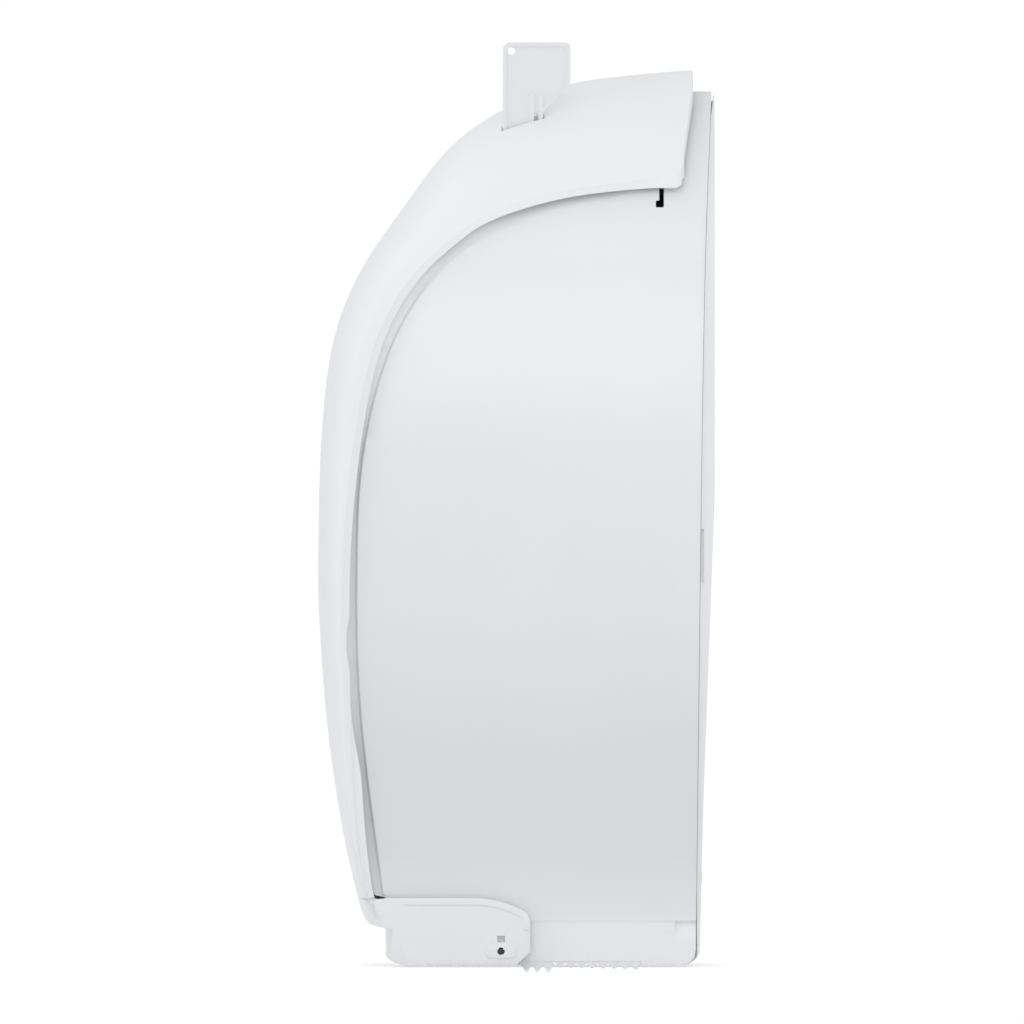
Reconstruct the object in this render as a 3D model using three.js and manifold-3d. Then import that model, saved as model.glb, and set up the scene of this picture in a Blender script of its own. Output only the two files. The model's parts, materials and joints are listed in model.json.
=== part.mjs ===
// Wall-mounted dispenser for two toilet rolls, one above the other, with a hinged front cover.
// Millimetres, +Z up. The wall is the plane y = 0 and the dispenser stands out from it along -Y.
// Outlines are written as [depth from the wall, height above the foot] or [x, height].
import * as THREE from "three";
import { mergeVertices } from "three/addons/utils/BufferGeometryUtils.js";
import Module from "manifold-3d";

const wasm = await Module();
wasm.setup();

// Overall sizes
const coverHeight = 311;
const overallDepth = 137.8;
const housingHalfWidth = 69;
const coverSideStand = 4.5;
const coverHalfWidth = housingHalfWidth + coverSideStand;
const coverTopStand = 7.4;
const housingHeight = coverHeight - coverTopStand;
const originHeightShare = 0.746;
const originHeight = originHeightShare * coverHeight;

// Gaps and overruns
const gap = 0.3;
const runningGap = 0.4;
const cutOverrun = 5;
const joinOverlap = 1;
const mergeDistance = 1e-4;

// Front cover: a crest line down the middle and the line where its corner ends on the flat side
const coverWall = 2.8;
const coverRimDepth = 4.3;
const coverRimThickness = 1.2;
const topCornerPower = 2;
const frontCornerPower = 3.2;
const topPowerEndsShare = 0.12;
const frontPowerStartsShare = 0.5;
const crestDepthShares = [
  0.054, 0.218, 0.377, 0.533, 0.668, 0.784, 0.896, 0.962,
  0.991, 1, 0.997, 0.975, 0.938, 0.8955, 0.874,
];
const crestHeightShares = [
  1, 0.994, 0.983, 0.956, 0.913, 0.847, 0.773, 0.697,
  0.598, 0.476, 0.379, 0.257, 0.148, 0.066, 0.0457,
];
const cornerDepthShares = [
  0.065, 0.225, 0.374, 0.508, 0.613, 0.704, 0.791, 0.853,
  0.891, 0.9165, 0.9216, 0.9144, 0.894, 0.852, 0.8287,
];
const cornerHeightShares = [
  0.763, 0.765, 0.768, 0.768, 0.765, 0.76, 0.7315, 0.6656,
  0.579, 0.469, 0.373, 0.254, 0.148, 0.0675, 0.0405,
];
const stepsPerSpan = 2;
const stepsAcross = 24;

// Lip of the cover, from the hinge end up the front and back along the roof
const lipDepthShares = [
  0.877, 0.889, 0.9064, 0.9144, 0.9216, 0.9151, 0.894, 0.8636,
  0.8229, 0.7656, 0.7134, 0.6386, 0.5776, 0.4652, 0.3266, 0.1473,
];
const lipHeightShares = [
  0.0727, 0.0939, 0.1672, 0.2392, 0.3794, 0.4823, 0.5746, 0.6527,
  0.71, 0.7531, 0.781, 0.809, 0.828, 0.846, 0.8601, 0.8669,
];
const lipSteps = 36;
const lipRearDepth = 10.6;
const lipRearCorner = 3.5;
const lipRearSlantDrop = 30;
const coverRearDepth = 7.5;
const lipNotchLength = 13;
const lipNotchDepth = 1;
const lipNotchHeightShare = 0.36;

// Toe of the cover below its step, and the ears that carry the hinge
const toeStep = 6;
const toeDepth = crestDepthShares.at(-1) * overallDepth - toeStep;
const toeCorner = 8;
const toeFootRadius = 5.8;
const toeTopHeight = 20;
const frontRibInset = 18;
const frontRibSetback = 2;
const frontRibBottom = 18.5;
const frontRibTop = 28;
const hingeSetback = 40.2;
const hingeDepth = toeDepth - hingeSetback;
const earRearReach = 10.1;
const earShoulderReach = 5.8;
const earRearDepth = hingeDepth - earRearReach;
const earShoulderDepth = hingeDepth + earShoulderReach;
const earTopHeight = 23.2;
const earShoulderRadius = 30;
const earRearShoulderHeight = 18.8;
const earRearRadius = 3.2;
const earChamfer = 4.2;
const earSmallRadius = 1;
const earBeadWidth = 2.4;
const earBeadProud = 0.6;
const hingeBossWidth = 10.8;
const hingeBossHeight = 4.9;
const hingeBossProud = 0.5;
const earWindowWidth = 2.6;
const earWindowHeight = 2.3;
const earWindowRise = 4.2;

// Hinge pins
const hingeHeight = 4.8;
const hingePinRadius = 1;
const hingePinRecess = 1.8;
const hingeBossLength = 4;
const hingeBossRadius = 3.4;

// Housing: side walls and roof in one arch
const housingWall = 3;
const housingRearDepthShares = [0.0087, 0.025, 0.0355, 0.048];
const housingRearHeightShares = [1, 0.82, 0.56, 0.08];
const housingFootRadius = 5;
const housingFootSetback = 10.9;
const housingKneeSetback = 7.9;
const housingFrontFootDepth = toeDepth - housingFootSetback;
const housingFrontKneeDepth = toeDepth - housingKneeSetback;
const housingFrontKneeHeight = 18;
const rimOverlap = 4;
const lockDepthShare = 0.45;
const lockDepth = lockDepthShare * overallDepth;
const roofFrontReach = 14;
const roofFrontDepth = lockDepth + roofFrontReach;
const coverClearance = 1;
const coverSpaceOutset = 15;
const borderRecess = 1.3;
const panelDepthShares = [
  0.8338, 0.8462, 0.8788, 0.8991, 0.8991, 0.894, 0.8687, 0.8309,
  0.7925, 0.7562, 0.6923, 0.6255, 0.5711, 0.4906, 0.3897, 0.2177,
];
const panelHeightShares = [
  0.0804, 0.1219, 0.228, 0.3399, 0.4514, 0.5354, 0.608, 0.6688,
  0.7087, 0.7367, 0.7717, 0.7971, 0.8106, 0.8273, 0.844, 0.8569,
];
const panelSteps = 30;
const bandHeight = 15.6;
const bandRecess = 0.6;
const floorThickness = 3;
const rearFloorDepth = 24;
const frontFloorLength = 17.5;
const ventSlotDepth = 18.5;
const ventSlotWidth = 1.6;
const ventSlotTopDrop = 33.6;
const ventSlotTop = housingHeight - ventSlotTopDrop;
const ventSlotLength = 7.2;
const ventSlotBottom = ventSlotTop - ventSlotLength;
const ventFootWidth = 1.2;
const ventFootHeight = 2.4;

// Tear teeth on the lower edges of both side walls
const longToothCount = 3;
const shortToothCount = 8;
const toothPitch = 3.77;
const longTeethSetback = 7;
const shortTeethSetback = 18.5;
const longToothDrop = 2.6;
const longToothRoot = -0.35;
const shortToothDrop = 0.8;
const shortToothRoot = 0.8;
const shortToothFall = 0.11;
const toothCurveShares = [
  [0, 0], [0.12, 0.04], [0.36, 0.86], [0.44, 1], [0.56, 1], [0.64, 0.86], [0.88, 0.04],
];
const toothWall = 1.6;

// Wall plate that closes the back of the housing
const plateInset = 0.8;
const plateFlatBottomHeight = 165;
const plateKneeShare = 0.345;
const plateKneeHeight = plateKneeShare * plateFlatBottomHeight;
const plateKneeRelief = 4;
const plateFootRelief = 5.4;
const plateFrontDepth = 9.5;
const plateScrewInset = 10;
const plateScrewX = housingHalfWidth - plateScrewInset;
const plateScrewHeightShares = [0.099, 0.741];
const plateScrewRadius = 1.8;
const plateScrewHeadRadius = 3.6;
const plateScrewHeadThickness = 2.4;
const plateScrewBite = 5;
const tabThickness = 3.5;
const tabHalfHeight = 6;
const tabReach = 13;
const wallHoleShares = [[0.507, 0.883], [-0.507, 0.883], [0.58, 0.5665], [-0.58, 0.5665]];
const wallHoleRadius = 2.6;
const wallHoleSinkRadius = 5.6;
const wallHoleSinkDepth = 4;
const backPocketFloor = 3;
const backPocketInnerX = 22;
const backPocketInset = 17;
const backPocketHeightShares = [[0.07, 0.29], [0.32, 0.52], [0.625, 0.81]];
const snapNotchWidth = 1.2;
const snapNotchDepth = 1;
const snapNotchHeightShares = [[0.888, 0.929], [0.83, 0.848], [0.437, 0.498]];

// Roll carriers: a fixed spindle with a free-turning hub
const rollHeightShares = { upper: 0.6686, lower: 0.2536 };
const spindleRadius = 6;
const spindleSetback = 13.9;
const spindleEndDepth = toeDepth - spindleSetback;
const spindleFlangeRadius = 18;
const spindleFlangeThickness = 2.8;
const spigotRadius = 8;
const spigotLength = 5;
const spindleChamfer = 0.8;
const hubFlangeRadius = 24;
const hubFlangeThickness = 2.5;
const hubRadius = 17.5;
const hubWall = 2.2;
const hubBushWall = 2.2;
const hubNose = 5;
const hubRibCount = 5;
const hubRibThickness = 1.6;
const hubFinCount = 5;
const hubFinHeight = 0.8;
const hubFinWidth = 2;
const brakeWasherThickness = 1.3;
const brakeWasherRadius = 11;
const endWasherThickness = 1.5;
const endWasherRadius = 8.5;
const endScrewRadius = 1.6;
const endScrewLength = 15;
const endScrewHeadRadius = 4.4;
const endScrewHeadThickness = 2.6;
const screwSlotWidth = 1;
const screwSlotDepth = 1;

// Key, and the lock bolt that its tongue presses down
const keyXShare = 0.55;
const keyX = keyXShare * housingHalfWidth;
const keyThickness = 2.5;
const keyFrontReach = 11.6;
const keyRearReach = 11.9;
const keyFrontDepth = lockDepth + keyFrontReach;
const keyRearDepth = lockDepth - keyRearReach;
const keyTopStand = 9.3;
const keyTop = coverHeight + keyTopStand;
const keyRearLength = 14.5;
const keyShoulderLength = 24.1;
const keyTongueReach = 2.4;
const keyTongueRear = lockDepth - keyTongueReach;
const keyTongueTop = keyTop - keyShoulderLength;
const keyTongueLength = 15.7;
const keyTongueTip = keyTongueTop - keyTongueLength;
const keySlotWidth = 1.4;
const keyRibWidth = 1.7;
const keyRibLength = 6.2;
const keyChamfer = 1.7;
const keyRadius = 2.1;
const keyHoleRadius = 1.3;
const keyHoleInset = 3;
const keyRimWidth = 1.4;
const keyRimRecess = 0.4;
const boltHalfWidth = 6.1;
const boltRearReach = 18.6;
const boltFrontReach = 4;
const boltRearDepth = lockDepth - boltRearReach;
const boltFrontDepth = lockDepth + boltFrontReach;
const boltTowerThickness = 6;
const boltFootThickness = 6;
const boltTowerDrop = 21.2;
const boltTowerTop = housingHeight - boltTowerDrop;
const catchThickness = 3;
const catchHalfWidth = 5;
const catchClearance = 1.6;
const cheekThickness = 1.8;
const lockFloorDrop = 39.6;
const lockFrontWallDrop = 26.6;
const lockFloorHeight = housingHeight - lockFloorDrop;
const lockFrontWallTop = housingHeight - lockFrontWallDrop;
const springRadius = 3.2;
const springWire = 0.9;
const springTurns = 4;

// Smoothness of round forms
const curveSegments = 12;
const cornerSteps = 5;
const roundSides = 24;
const smallRoundSides = 12;
const wireSides = 6;
const archSteps = 36;

const white = { color: 0xe9ebee, roughness: 0.42, metalness: 0 };
const innerWhite = { color: 0xe2e4e7, roughness: 0.55, metalness: 0 };
const grey = { color: 0xb9bcc1, roughness: 0.5, metalness: 0 };
const steel = { color: 0xb8bcc2, roughness: 0.3, metalness: 1 };
const darkSteel = { color: 0x2a2b2e, roughness: 0.45, metalness: 1 };
const felt = { color: 0x4a4d52, roughness: 0.9, metalness: 0 };

// Turns a closed geometry into a solid for joining and cutting
function solidOf(geometry) {
  const bare = geometry.index ? geometry.toNonIndexed() : geometry.clone();
  bare.deleteAttribute("normal");
  bare.deleteAttribute("uv");
  const merged = mergeVertices(bare, mergeDistance);
  const corners = merged.index.array;
  const kept = [];
  for (let i = 0; i < corners.length; i += 3) {
    const [a, b, c] = [corners[i], corners[i + 1], corners[i + 2]];
    if (a !== b && b !== c && c !== a) kept.push(a, b, c);
  }
  const vertProperties = merged.attributes.position.array;
  const build = (triVerts) => new wasm.Manifold(new wasm.Mesh({ numProp: 3, vertProperties, triVerts }));
  const solid = build(new Uint32Array(kept));
  if (solid.volume() > 0) return solid;
  return build(new Uint32Array(kept.reverse()));
}

function meshOf(name, solid, look) {
  const made = solid.getMesh();
  const geometry = new THREE.BufferGeometry();
  geometry.setAttribute("position", new THREE.BufferAttribute(made.vertProperties, 3));
  geometry.setIndex(new THREE.BufferAttribute(made.triVerts, 1));
  geometry.computeVertexNormals();
  const mesh = new THREE.Mesh(geometry, new THREE.MeshStandardMaterial(look));
  mesh.name = name;
  return mesh;
}

const joined = (solids) => solids.reduce((all, next) => all.add(next));

// Extrusions of an outline across the width, out from the wall, or upward
function extruded(outline, length, basis, origin) {
  const shape = new THREE.Shape(outline.map(([u, v]) => new THREE.Vector2(u, v)));
  const geometry = new THREE.ExtrudeGeometry(shape, { depth: length, bevelEnabled: false, curveSegments });
  const place = new THREE.Matrix4().makeBasis(...basis).setPosition(...origin);
  return solidOf(geometry.applyMatrix4(place));
}

const right = new THREE.Vector3(1, 0, 0);
const left = new THREE.Vector3(-1, 0, 0);
const back = new THREE.Vector3(0, 1, 0);
const out = new THREE.Vector3(0, -1, 0);
const up = new THREE.Vector3(0, 0, 1);

const acrossWidth = (outline, from, to) => extruded(outline, to - from, [out, up, left], [to, 0, 0]);
const outFromWall = (outline, from, to) => extruded(outline, to - from, [right, up, out], [0, -from, 0]);
const upward = (outline, from, to) => extruded(outline, to - from, [right, back, up], [0, 0, from]);

const rectangle = (u0, v0, u1, v1) => [[u0, v0], [u1, v0], [u1, v1], [u0, v1]];

function block(x, depth, height) {
  return acrossWidth(rectangle(depth[0], height[0], depth[1], height[1]), x[0], x[1]);
}

const onSide = (side, inner, outer) => [side * inner, side * outer].sort((a, b) => a - b);

function circle(u, v, radius, sides = roundSides) {
  return Array.from({ length: sides }, (_, i) => {
    const angle = (2 * Math.PI * i) / sides;
    return [u + radius * Math.cos(angle), v + radius * Math.sin(angle)];
  });
}

const pairs = (points) => points.map((p) => [p.x, p.y]);

// A polygon whose corners [u, v, radius] are rounded where a radius is given
function rounded(corners) {
  const points = [];
  corners.forEach(([u, v, radius], i) => {
    if (!radius) {
      points.push([u, v]);
      return;
    }
    const here = new THREE.Vector2(u, v);
    const before = new THREE.Vector2(...corners.at(i - 1)).sub(here);
    const after = new THREE.Vector2(...corners[(i + 1) % corners.length]).sub(here);
    const half = Math.acos(before.clone().normalize().dot(after.clone().normalize())) / 2;
    const reach = Math.min(radius / Math.tan(half), before.length() / 2, after.length() / 2);
    const start = before.setLength(reach).add(here);
    const end = after.setLength(reach).add(here);
    const bend = new THREE.QuadraticBezierCurve(start, here, end);
    points.push(...pairs(bend.getPoints(cornerSteps)));
  });
  return points;
}

// A solid of revolution round an axis that stands out from the wall at the given height
function turned(profile, height, sides = roundSides) {
  const points = profile.map(([radius, depth]) => new THREE.Vector2(radius, depth));
  const geometry = new THREE.LatheGeometry([...points, points[0].clone()], sides);
  geometry.rotateX(Math.PI);
  geometry.translate(0, 0, height);
  return solidOf(geometry);
}

function curveOf(depthShares, heightShares) {
  const point = (share, i) => new THREE.Vector2(share * overallDepth, heightShares[i] * coverHeight);
  return new THREE.SplineCurve(depthShares.map(point));
}

const crestCurve = curveOf(crestDepthShares, crestHeightShares);
const cornerCurve = curveOf(cornerDepthShares, cornerHeightShares);
const lipCurve = curveOf(lipDepthShares, lipHeightShares);
const panelCurve = curveOf(panelDepthShares, panelHeightShares);
const coverSpans = crestDepthShares.length - 1;

// One cross-section of the cover: flat on top at the crest and turning down to the flat side
function section(crest, corner, power, inset, shift = 0) {
  const reach = crest.distanceTo(corner);
  const inward = corner.clone().sub(crest).normalize();
  const halfWidth = coverHalfWidth - inset;
  const ring = [];
  const add = (x, fall) => {
    const p = crest.clone().addScaledVector(inward, fall);
    ring.push(new THREE.Vector3(x, -(p.x + shift), p.y));
  };
  const foot = reach + joinOverlap + Math.max(inset, 0);
  add(-halfWidth, foot);
  for (let i = 0; i <= stepsAcross; i++) {
    const angle = (i / stepsAcross - 0.5) * Math.PI;
    const x = Math.sign(angle) * Math.abs(Math.sin(angle)) ** (2 / power);
    const drop = 1 - Math.abs(Math.cos(angle)) ** (2 / power);
    add(halfWidth * x, inset + (reach - inset) * drop);
  }
  add(halfWidth, foot);
  return ring;
}

function loft(rings) {
  const count = rings[0].length;
  const index = [];
  for (let ring = 0; ring < rings.length - 1; ring++) {
    for (let i = 0; i < count; i++) {
      const a = ring * count + i;
      const b = ring * count + ((i + 1) % count);
      index.push(a, b, a + count, b, b + count, a + count);
    }
  }
  const last = (rings.length - 1) * count;
  for (let i = 1; i < count - 1; i++) {
    index.push(0, i + 1, i);
    index.push(last, last + i, last + i + 1);
  }
  const geometry = new THREE.BufferGeometry().setFromPoints(rings.flat());
  geometry.setIndex(index);
  return solidOf(geometry);
}

function cornerPower(t) {
  const turn = THREE.MathUtils.smoothstep(t, topPowerEndsShare, frontPowerStartsShare);
  return THREE.MathUtils.lerp(topCornerPower, frontCornerPower, turn);
}

// The cover's outer form above its step, or the same form moved in by an inset
function coverForm(inset, end = 1, rearShift = 0) {
  const steps = coverSpans * stepsPerSpan;
  const rings = [];
  for (let i = 0; i <= steps; i++) {
    const t = (end * i) / steps;
    const shift = i === 0 ? rearShift : 0;
    rings.push(section(crestCurve.getPoint(t), cornerCurve.getPoint(t), cornerPower(t), inset, shift));
  }
  return loft(rings);
}

// The toe below the step, with its foot rounded back
function toeForm(inset, bottom) {
  const ring = (depth, height) => {
    const corner = new THREE.Vector2(toeDepth - toeCorner, height);
    return section(new THREE.Vector2(depth, height), corner, frontCornerPower, inset);
  };
  const rings = [ring(toeDepth, toeTopHeight)];
  for (let i = 0; i <= curveSegments / 2; i++) {
    const angle = (i * Math.PI) / curveSegments;
    const pull = toeFootRadius * (1 - Math.cos(angle));
    rings.push(ring(toeDepth - pull, toeFootRadius - toeFootRadius * Math.sin(angle)));
  }
  if (bottom < 0) rings.push(ring(toeDepth - toeFootRadius, bottom));
  return loft(rings);
}

// The space between the flat sides, behind the line where the corner ends
function coreForm(inset, rear, bottom, end) {
  const steps = coverSpans * stepsPerSpan;
  const line = Array.from({ length: steps + 1 }, (_, i) => cornerCurve.getPoint((end * i) / steps));
  const toeBack = toeDepth - toeCorner;
  const foot = [[toeBack, line.at(-1).y], [toeBack, bottom], [rear, bottom]];
  const outline = [[rear, line[0].y], ...pairs(line), ...foot];
  return acrossWidth(outline, inset - coverHalfWidth, coverHalfWidth - inset);
}

const ledgeSpan = crestCurve.getPoint(1).distanceTo(crestCurve.getPoint(1 - 1 / coverSpans));
const ledgeEnd = 1 - coverWall / ledgeSpan / coverSpans;

// Side outline of what belongs to the cover: in front of the lip, above it, and the ear
function earOutline() {
  return [
    [toeDepth, 0],
    [earRearDepth + earChamfer, 0, earSmallRadius],
    [earRearDepth, earChamfer, earSmallRadius],
    [earRearDepth, earRearShoulderHeight, earRearRadius],
    [earShoulderDepth, earTopHeight, earShoulderRadius],
    [toeDepth, earTopHeight],
  ];
}

function lipOutline() {
  const points = pairs(lipCurve.getPoints(lipSteps));
  const rearHeight = points.at(-1)[1];
  const far = coverHeight + cutOverrun;
  return [
    ...points,
    ...rounded([
      points.at(-1),
      [lipRearDepth, rearHeight, lipRearCorner],
      [lipRearDepth, coverHeight - lipRearSlantDrop],
      [coverRearDepth, housingHeight],
      [coverRearDepth, far],
    ]).slice(1),
    [overallDepth + cutOverrun, far],
    [overallDepth + cutOverrun, -cutOverrun],
    [toeDepth - toeFootRadius, -cutOverrun],
    [toeDepth - toeFootRadius, earTopHeight],
  ];
}

function coverKeep() {
  const half = coverHalfWidth + cutOverrun;
  const shell = acrossWidth(lipOutline(), -half, half);
  return shell.add(acrossWidth(rounded(earOutline()), -half, half));
}

// The shallow notch halfway up the lip
function lipNotch() {
  const height = lipNotchHeightShare * coverHeight;
  const away = (p) => Math.abs(p.y - height);
  const lip = lipCurve.getPoints(lipSteps).reduce((a, b) => (away(a) < away(b) ? a : b));
  const outline = [
    [lip.x - cutOverrun, height - lipNotchLength / 2],
    [lip.x, height - lipNotchLength / 2],
    [lip.x + lipNotchDepth, height - lipNotchLength / 2 + lipNotchDepth],
    [lip.x + lipNotchDepth, height + lipNotchLength / 2 - lipNotchDepth],
    [lip.x, height + lipNotchLength / 2],
    [lip.x - cutOverrun, height + lipNotchLength / 2],
  ];
  return acrossWidth(outline, -coverHalfWidth, coverHalfWidth);
}

// Raised bead along the top of each ear, and the pad round its hinge pin
function earRelief(side) {
  const outer = rounded(earOutline());
  const from = coverHalfWidth - coverWall / 2;
  const beadTo = coverHalfWidth + earBeadProud;
  const slab = (outline, to) => acrossWidth(outline, ...onSide(side, from, to));
  const band = slab(outer, beadTo);
  const lowered = slab(outer.map(([d, h]) => [d, h - earBeadWidth]), beadTo + cutOverrun);
  const front = rectangle(toeDepth - toeCorner, -cutOverrun, overallDepth, coverHeight);
  const frontEnd = slab(front, beadTo + cutOverrun);
  const rearTop = earRearShoulderHeight - earRearRadius;
  const rearSide = rectangle(earRearDepth - cutOverrun, -cutOverrun, earRearDepth + earBeadWidth, rearTop);
  const bead = band.subtract(lowered).subtract(frontEnd).subtract(slab(rearSide, beadTo + cutOverrun));
  const pad = rounded(
    rectangle(
      hingeDepth - hingeBossWidth / 2,
      hingeHeight - hingeBossHeight / 2,
      hingeDepth + hingeBossWidth / 2,
      hingeHeight + hingeBossHeight / 2,
    ).map((p) => [...p, hingeBossHeight / 2]),
  );
  return bead.add(slab(pad, coverHalfWidth + hingeBossProud));
}

function coverCatch() {
  const rear = boltRearDepth - gap - gap - catchThickness;
  const bottom = boltTowerTop + catchClearance;
  const across = [keyX - catchHalfWidth, keyX + catchHalfWidth];
  const rib = block(across, [rear, rear + catchThickness], [bottom, coverHeight]);
  return rib.intersect(coverForm(coverWall / 2));
}

// Stiffening rib across the inside of the cover, above its step
function frontRib() {
  const half = coverHalfWidth - frontRibInset;
  const depth = [toeDepth + frontRibSetback, overallDepth];
  return block([-half, half], depth, [frontRibBottom, frontRibTop]).intersect(coverForm(coverWall / 2));
}

function keySlot() {
  const half = keyThickness / 2 + runningGap;
  return block(
    [keyX - half, keyX + half],
    [keyTongueRear - runningGap, keyFrontDepth + runningGap],
    [keyTongueTip, coverHeight + cutOverrun],
  );
}

function frontCover() {
  const outer = joined([coverForm(0), coreForm(0, coverRearDepth, 0, 1), toeForm(0, 0)]);
  const rimMouth = coverForm(coverRimDepth, 1 / coverSpans, -cutOverrun);
  const inner = joined([
    coverForm(coverWall, ledgeEnd, coverRimThickness),
    coreForm(coverWall, -cutOverrun, -cutOverrun, ledgeEnd),
    toeForm(coverWall, -cutOverrun),
    rimMouth,
  ]);
  const pinOutline = circle(hingeDepth, hingeHeight, hingePinRadius + gap, smallRoundSides);
  const pinHole = acrossWidth(pinOutline, -overallDepth, overallDepth);
  const windowBottom = hingeHeight + earWindowRise - earWindowHeight / 2;
  const earWindow = block(
    [-overallDepth, overallDepth],
    [hingeDepth - earWindowWidth / 2, hingeDepth + earWindowWidth / 2],
    [windowBottom, windowBottom + earWindowHeight],
  );
  return outer
    .subtract(inner)
    .intersect(coverKeep())
    .add(earRelief(1))
    .add(earRelief(-1))
    .add(coverCatch())
    .add(frontRib())
    .subtract(keySlot())
    .subtract(lipNotch())
    .subtract(pinHole)
    .subtract(earWindow);
}

// Arch-shaped front outline, round over the top and straight down to a given height
function archOutline(halfWidth, crest, bottom) {
  const centre = crest - halfWidth;
  const points = [[halfWidth, bottom]];
  for (let i = 0; i <= archSteps; i++) {
    const angle = (i * Math.PI) / archSteps;
    points.push([halfWidth * Math.cos(angle), centre + halfWidth * Math.sin(angle)]);
  }
  points.push([-halfWidth, bottom]);
  return points;
}

function housingRearLine() {
  const point = (share, i) =>
    new THREE.Vector2(share * overallDepth, housingRearHeightShares[i] * housingHeight);
  return new THREE.SplineCurve(housingRearDepthShares.map(point)).getPoints(curveSegments);
}

// Side outline of the housing: its front rim lies just under the cover's lip
function housingOutline() {
  const rim = lipCurve.getPoints(lipSteps).filter((p) => p.y > earTopHeight && p.x > roofFrontDepth);
  const front = rim.map((p) => [p.x + rimOverlap, p.y + rimOverlap / 2]);
  const rear = pairs(housingRearLine());
  const foot = rear.at(-1);
  return rounded([
    [housingFrontFootDepth, 0],
    [housingFrontKneeDepth, housingFrontKneeHeight],
    ...front,
    [roofFrontDepth, housingHeight + cutOverrun],
    [rear[0][0], housingHeight + cutOverrun],
    ...rear,
    [foot[0], 0, housingFootRadius],
  ]);
}

// Everything in front of the main side panel, where the side wall is set in under the lip
function borderOutline() {
  const line = pairs(panelCurve.getPoints(panelSteps));
  const far = coverHeight + cutOverrun;
  return [...line, [line.at(-1)[0], far], [overallDepth, far], [overallDepth, line[0][1]]];
}

// Side outline of a row of teeth from the front back: rounded valleys, blunt tips, a slight fall
function combOutline(count, front, root, drop, fall) {
  const comb = [[front, root + drop + joinOverlap]];
  for (let i = 0; i < count; i++) {
    for (const [along, down] of toothCurveShares) {
      const place = i + along;
      comb.push([front - place * toothPitch, root - place * fall - down * (root + drop)]);
    }
  }
  const rear = front - count * toothPitch;
  return [...comb, [rear, root - count * fall], [rear, root + drop + joinOverlap]];
}

function toothedEdge(body) {
  const wallOuter = housingHalfWidth - bandRecess;
  const longFront = hingeDepth - longTeethSetback;
  const shortFront = hingeDepth - shortTeethSetback;
  const rearOfTeeth = shortFront - shortToothCount * toothPitch;
  const reliefTop = shortToothRoot + joinOverlap / 2;
  const relief = rectangle(rearOfTeeth, -cutOverrun, longFront, reliefTop);
  const combs = [
    combOutline(longToothCount, longFront, longToothRoot, longToothDrop, 0),
    combOutline(shortToothCount, shortFront, shortToothRoot, shortToothDrop, shortToothFall),
  ];
  let edged = body.subtract(acrossWidth(relief, -coverHalfWidth, coverHalfWidth));
  for (const comb of combs) {
    edged = edged.add(acrossWidth(comb, wallOuter - toothWall, wallOuter));
    edged = edged.add(acrossWidth(comb, -wallOuter, toothWall - wallOuter));
  }
  return edged;
}

const screwHeights = plateScrewHeightShares.map((share) => share * housingHeight);
const screwPlaces = screwHeights.flatMap((height) => [[plateScrewX, height], [-plateScrewX, height]]);

function screwTab([x, height]) {
  const outer = housingHalfWidth - housingWall / 2;
  const across = onSide(Math.sign(x), outer - tabReach, outer);
  const depth = [plateFrontDepth + gap, plateFrontDepth + gap + tabThickness];
  return block(across, depth, [height - tabHalfHeight, height + tabHalfHeight]);
}

// Cheeks, floor and end walls that guide the lock bolt under the roof
function lockGuide() {
  const inside = boltHalfWidth + runningGap;
  const outside = inside + cheekThickness;
  const depth = [boltRearDepth - runningGap - cheekThickness, boltFrontDepth + runningGap + cheekThickness];
  const floor = lockFloorHeight - cheekThickness;
  const cheeks = [
    block([keyX - outside, keyX - inside], depth, [floor, housingHeight]),
    block([keyX + inside, keyX + outside], depth, [floor, housingHeight]),
  ];
  const across = [keyX - outside, keyX + outside];
  const plates = [
    block(across, depth, [floor, lockFloorHeight]),
    block(across, [depth[0], depth[0] + cheekThickness], [floor, boltTowerTop]),
    block(across, [depth[1] - cheekThickness, depth[1]], [floor, lockFrontWallTop]),
  ];
  const underRoof = archOutline(housingHalfWidth - housingWall / 2, housingHeight - housingWall / 2, 0);
  return joined([...cheeks, ...plates]).intersect(outFromWall(underRoof, 0, overallDepth));
}

// The cover's skin and the running space inside it, kept free of the housing
function coverSpace() {
  const inside = coverForm(coverWall + coverClearance, 1, -cutOverrun - joinOverlap);
  return coverForm(-coverSpaceOutset, 1, -cutOverrun).subtract(inside);
}

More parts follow.
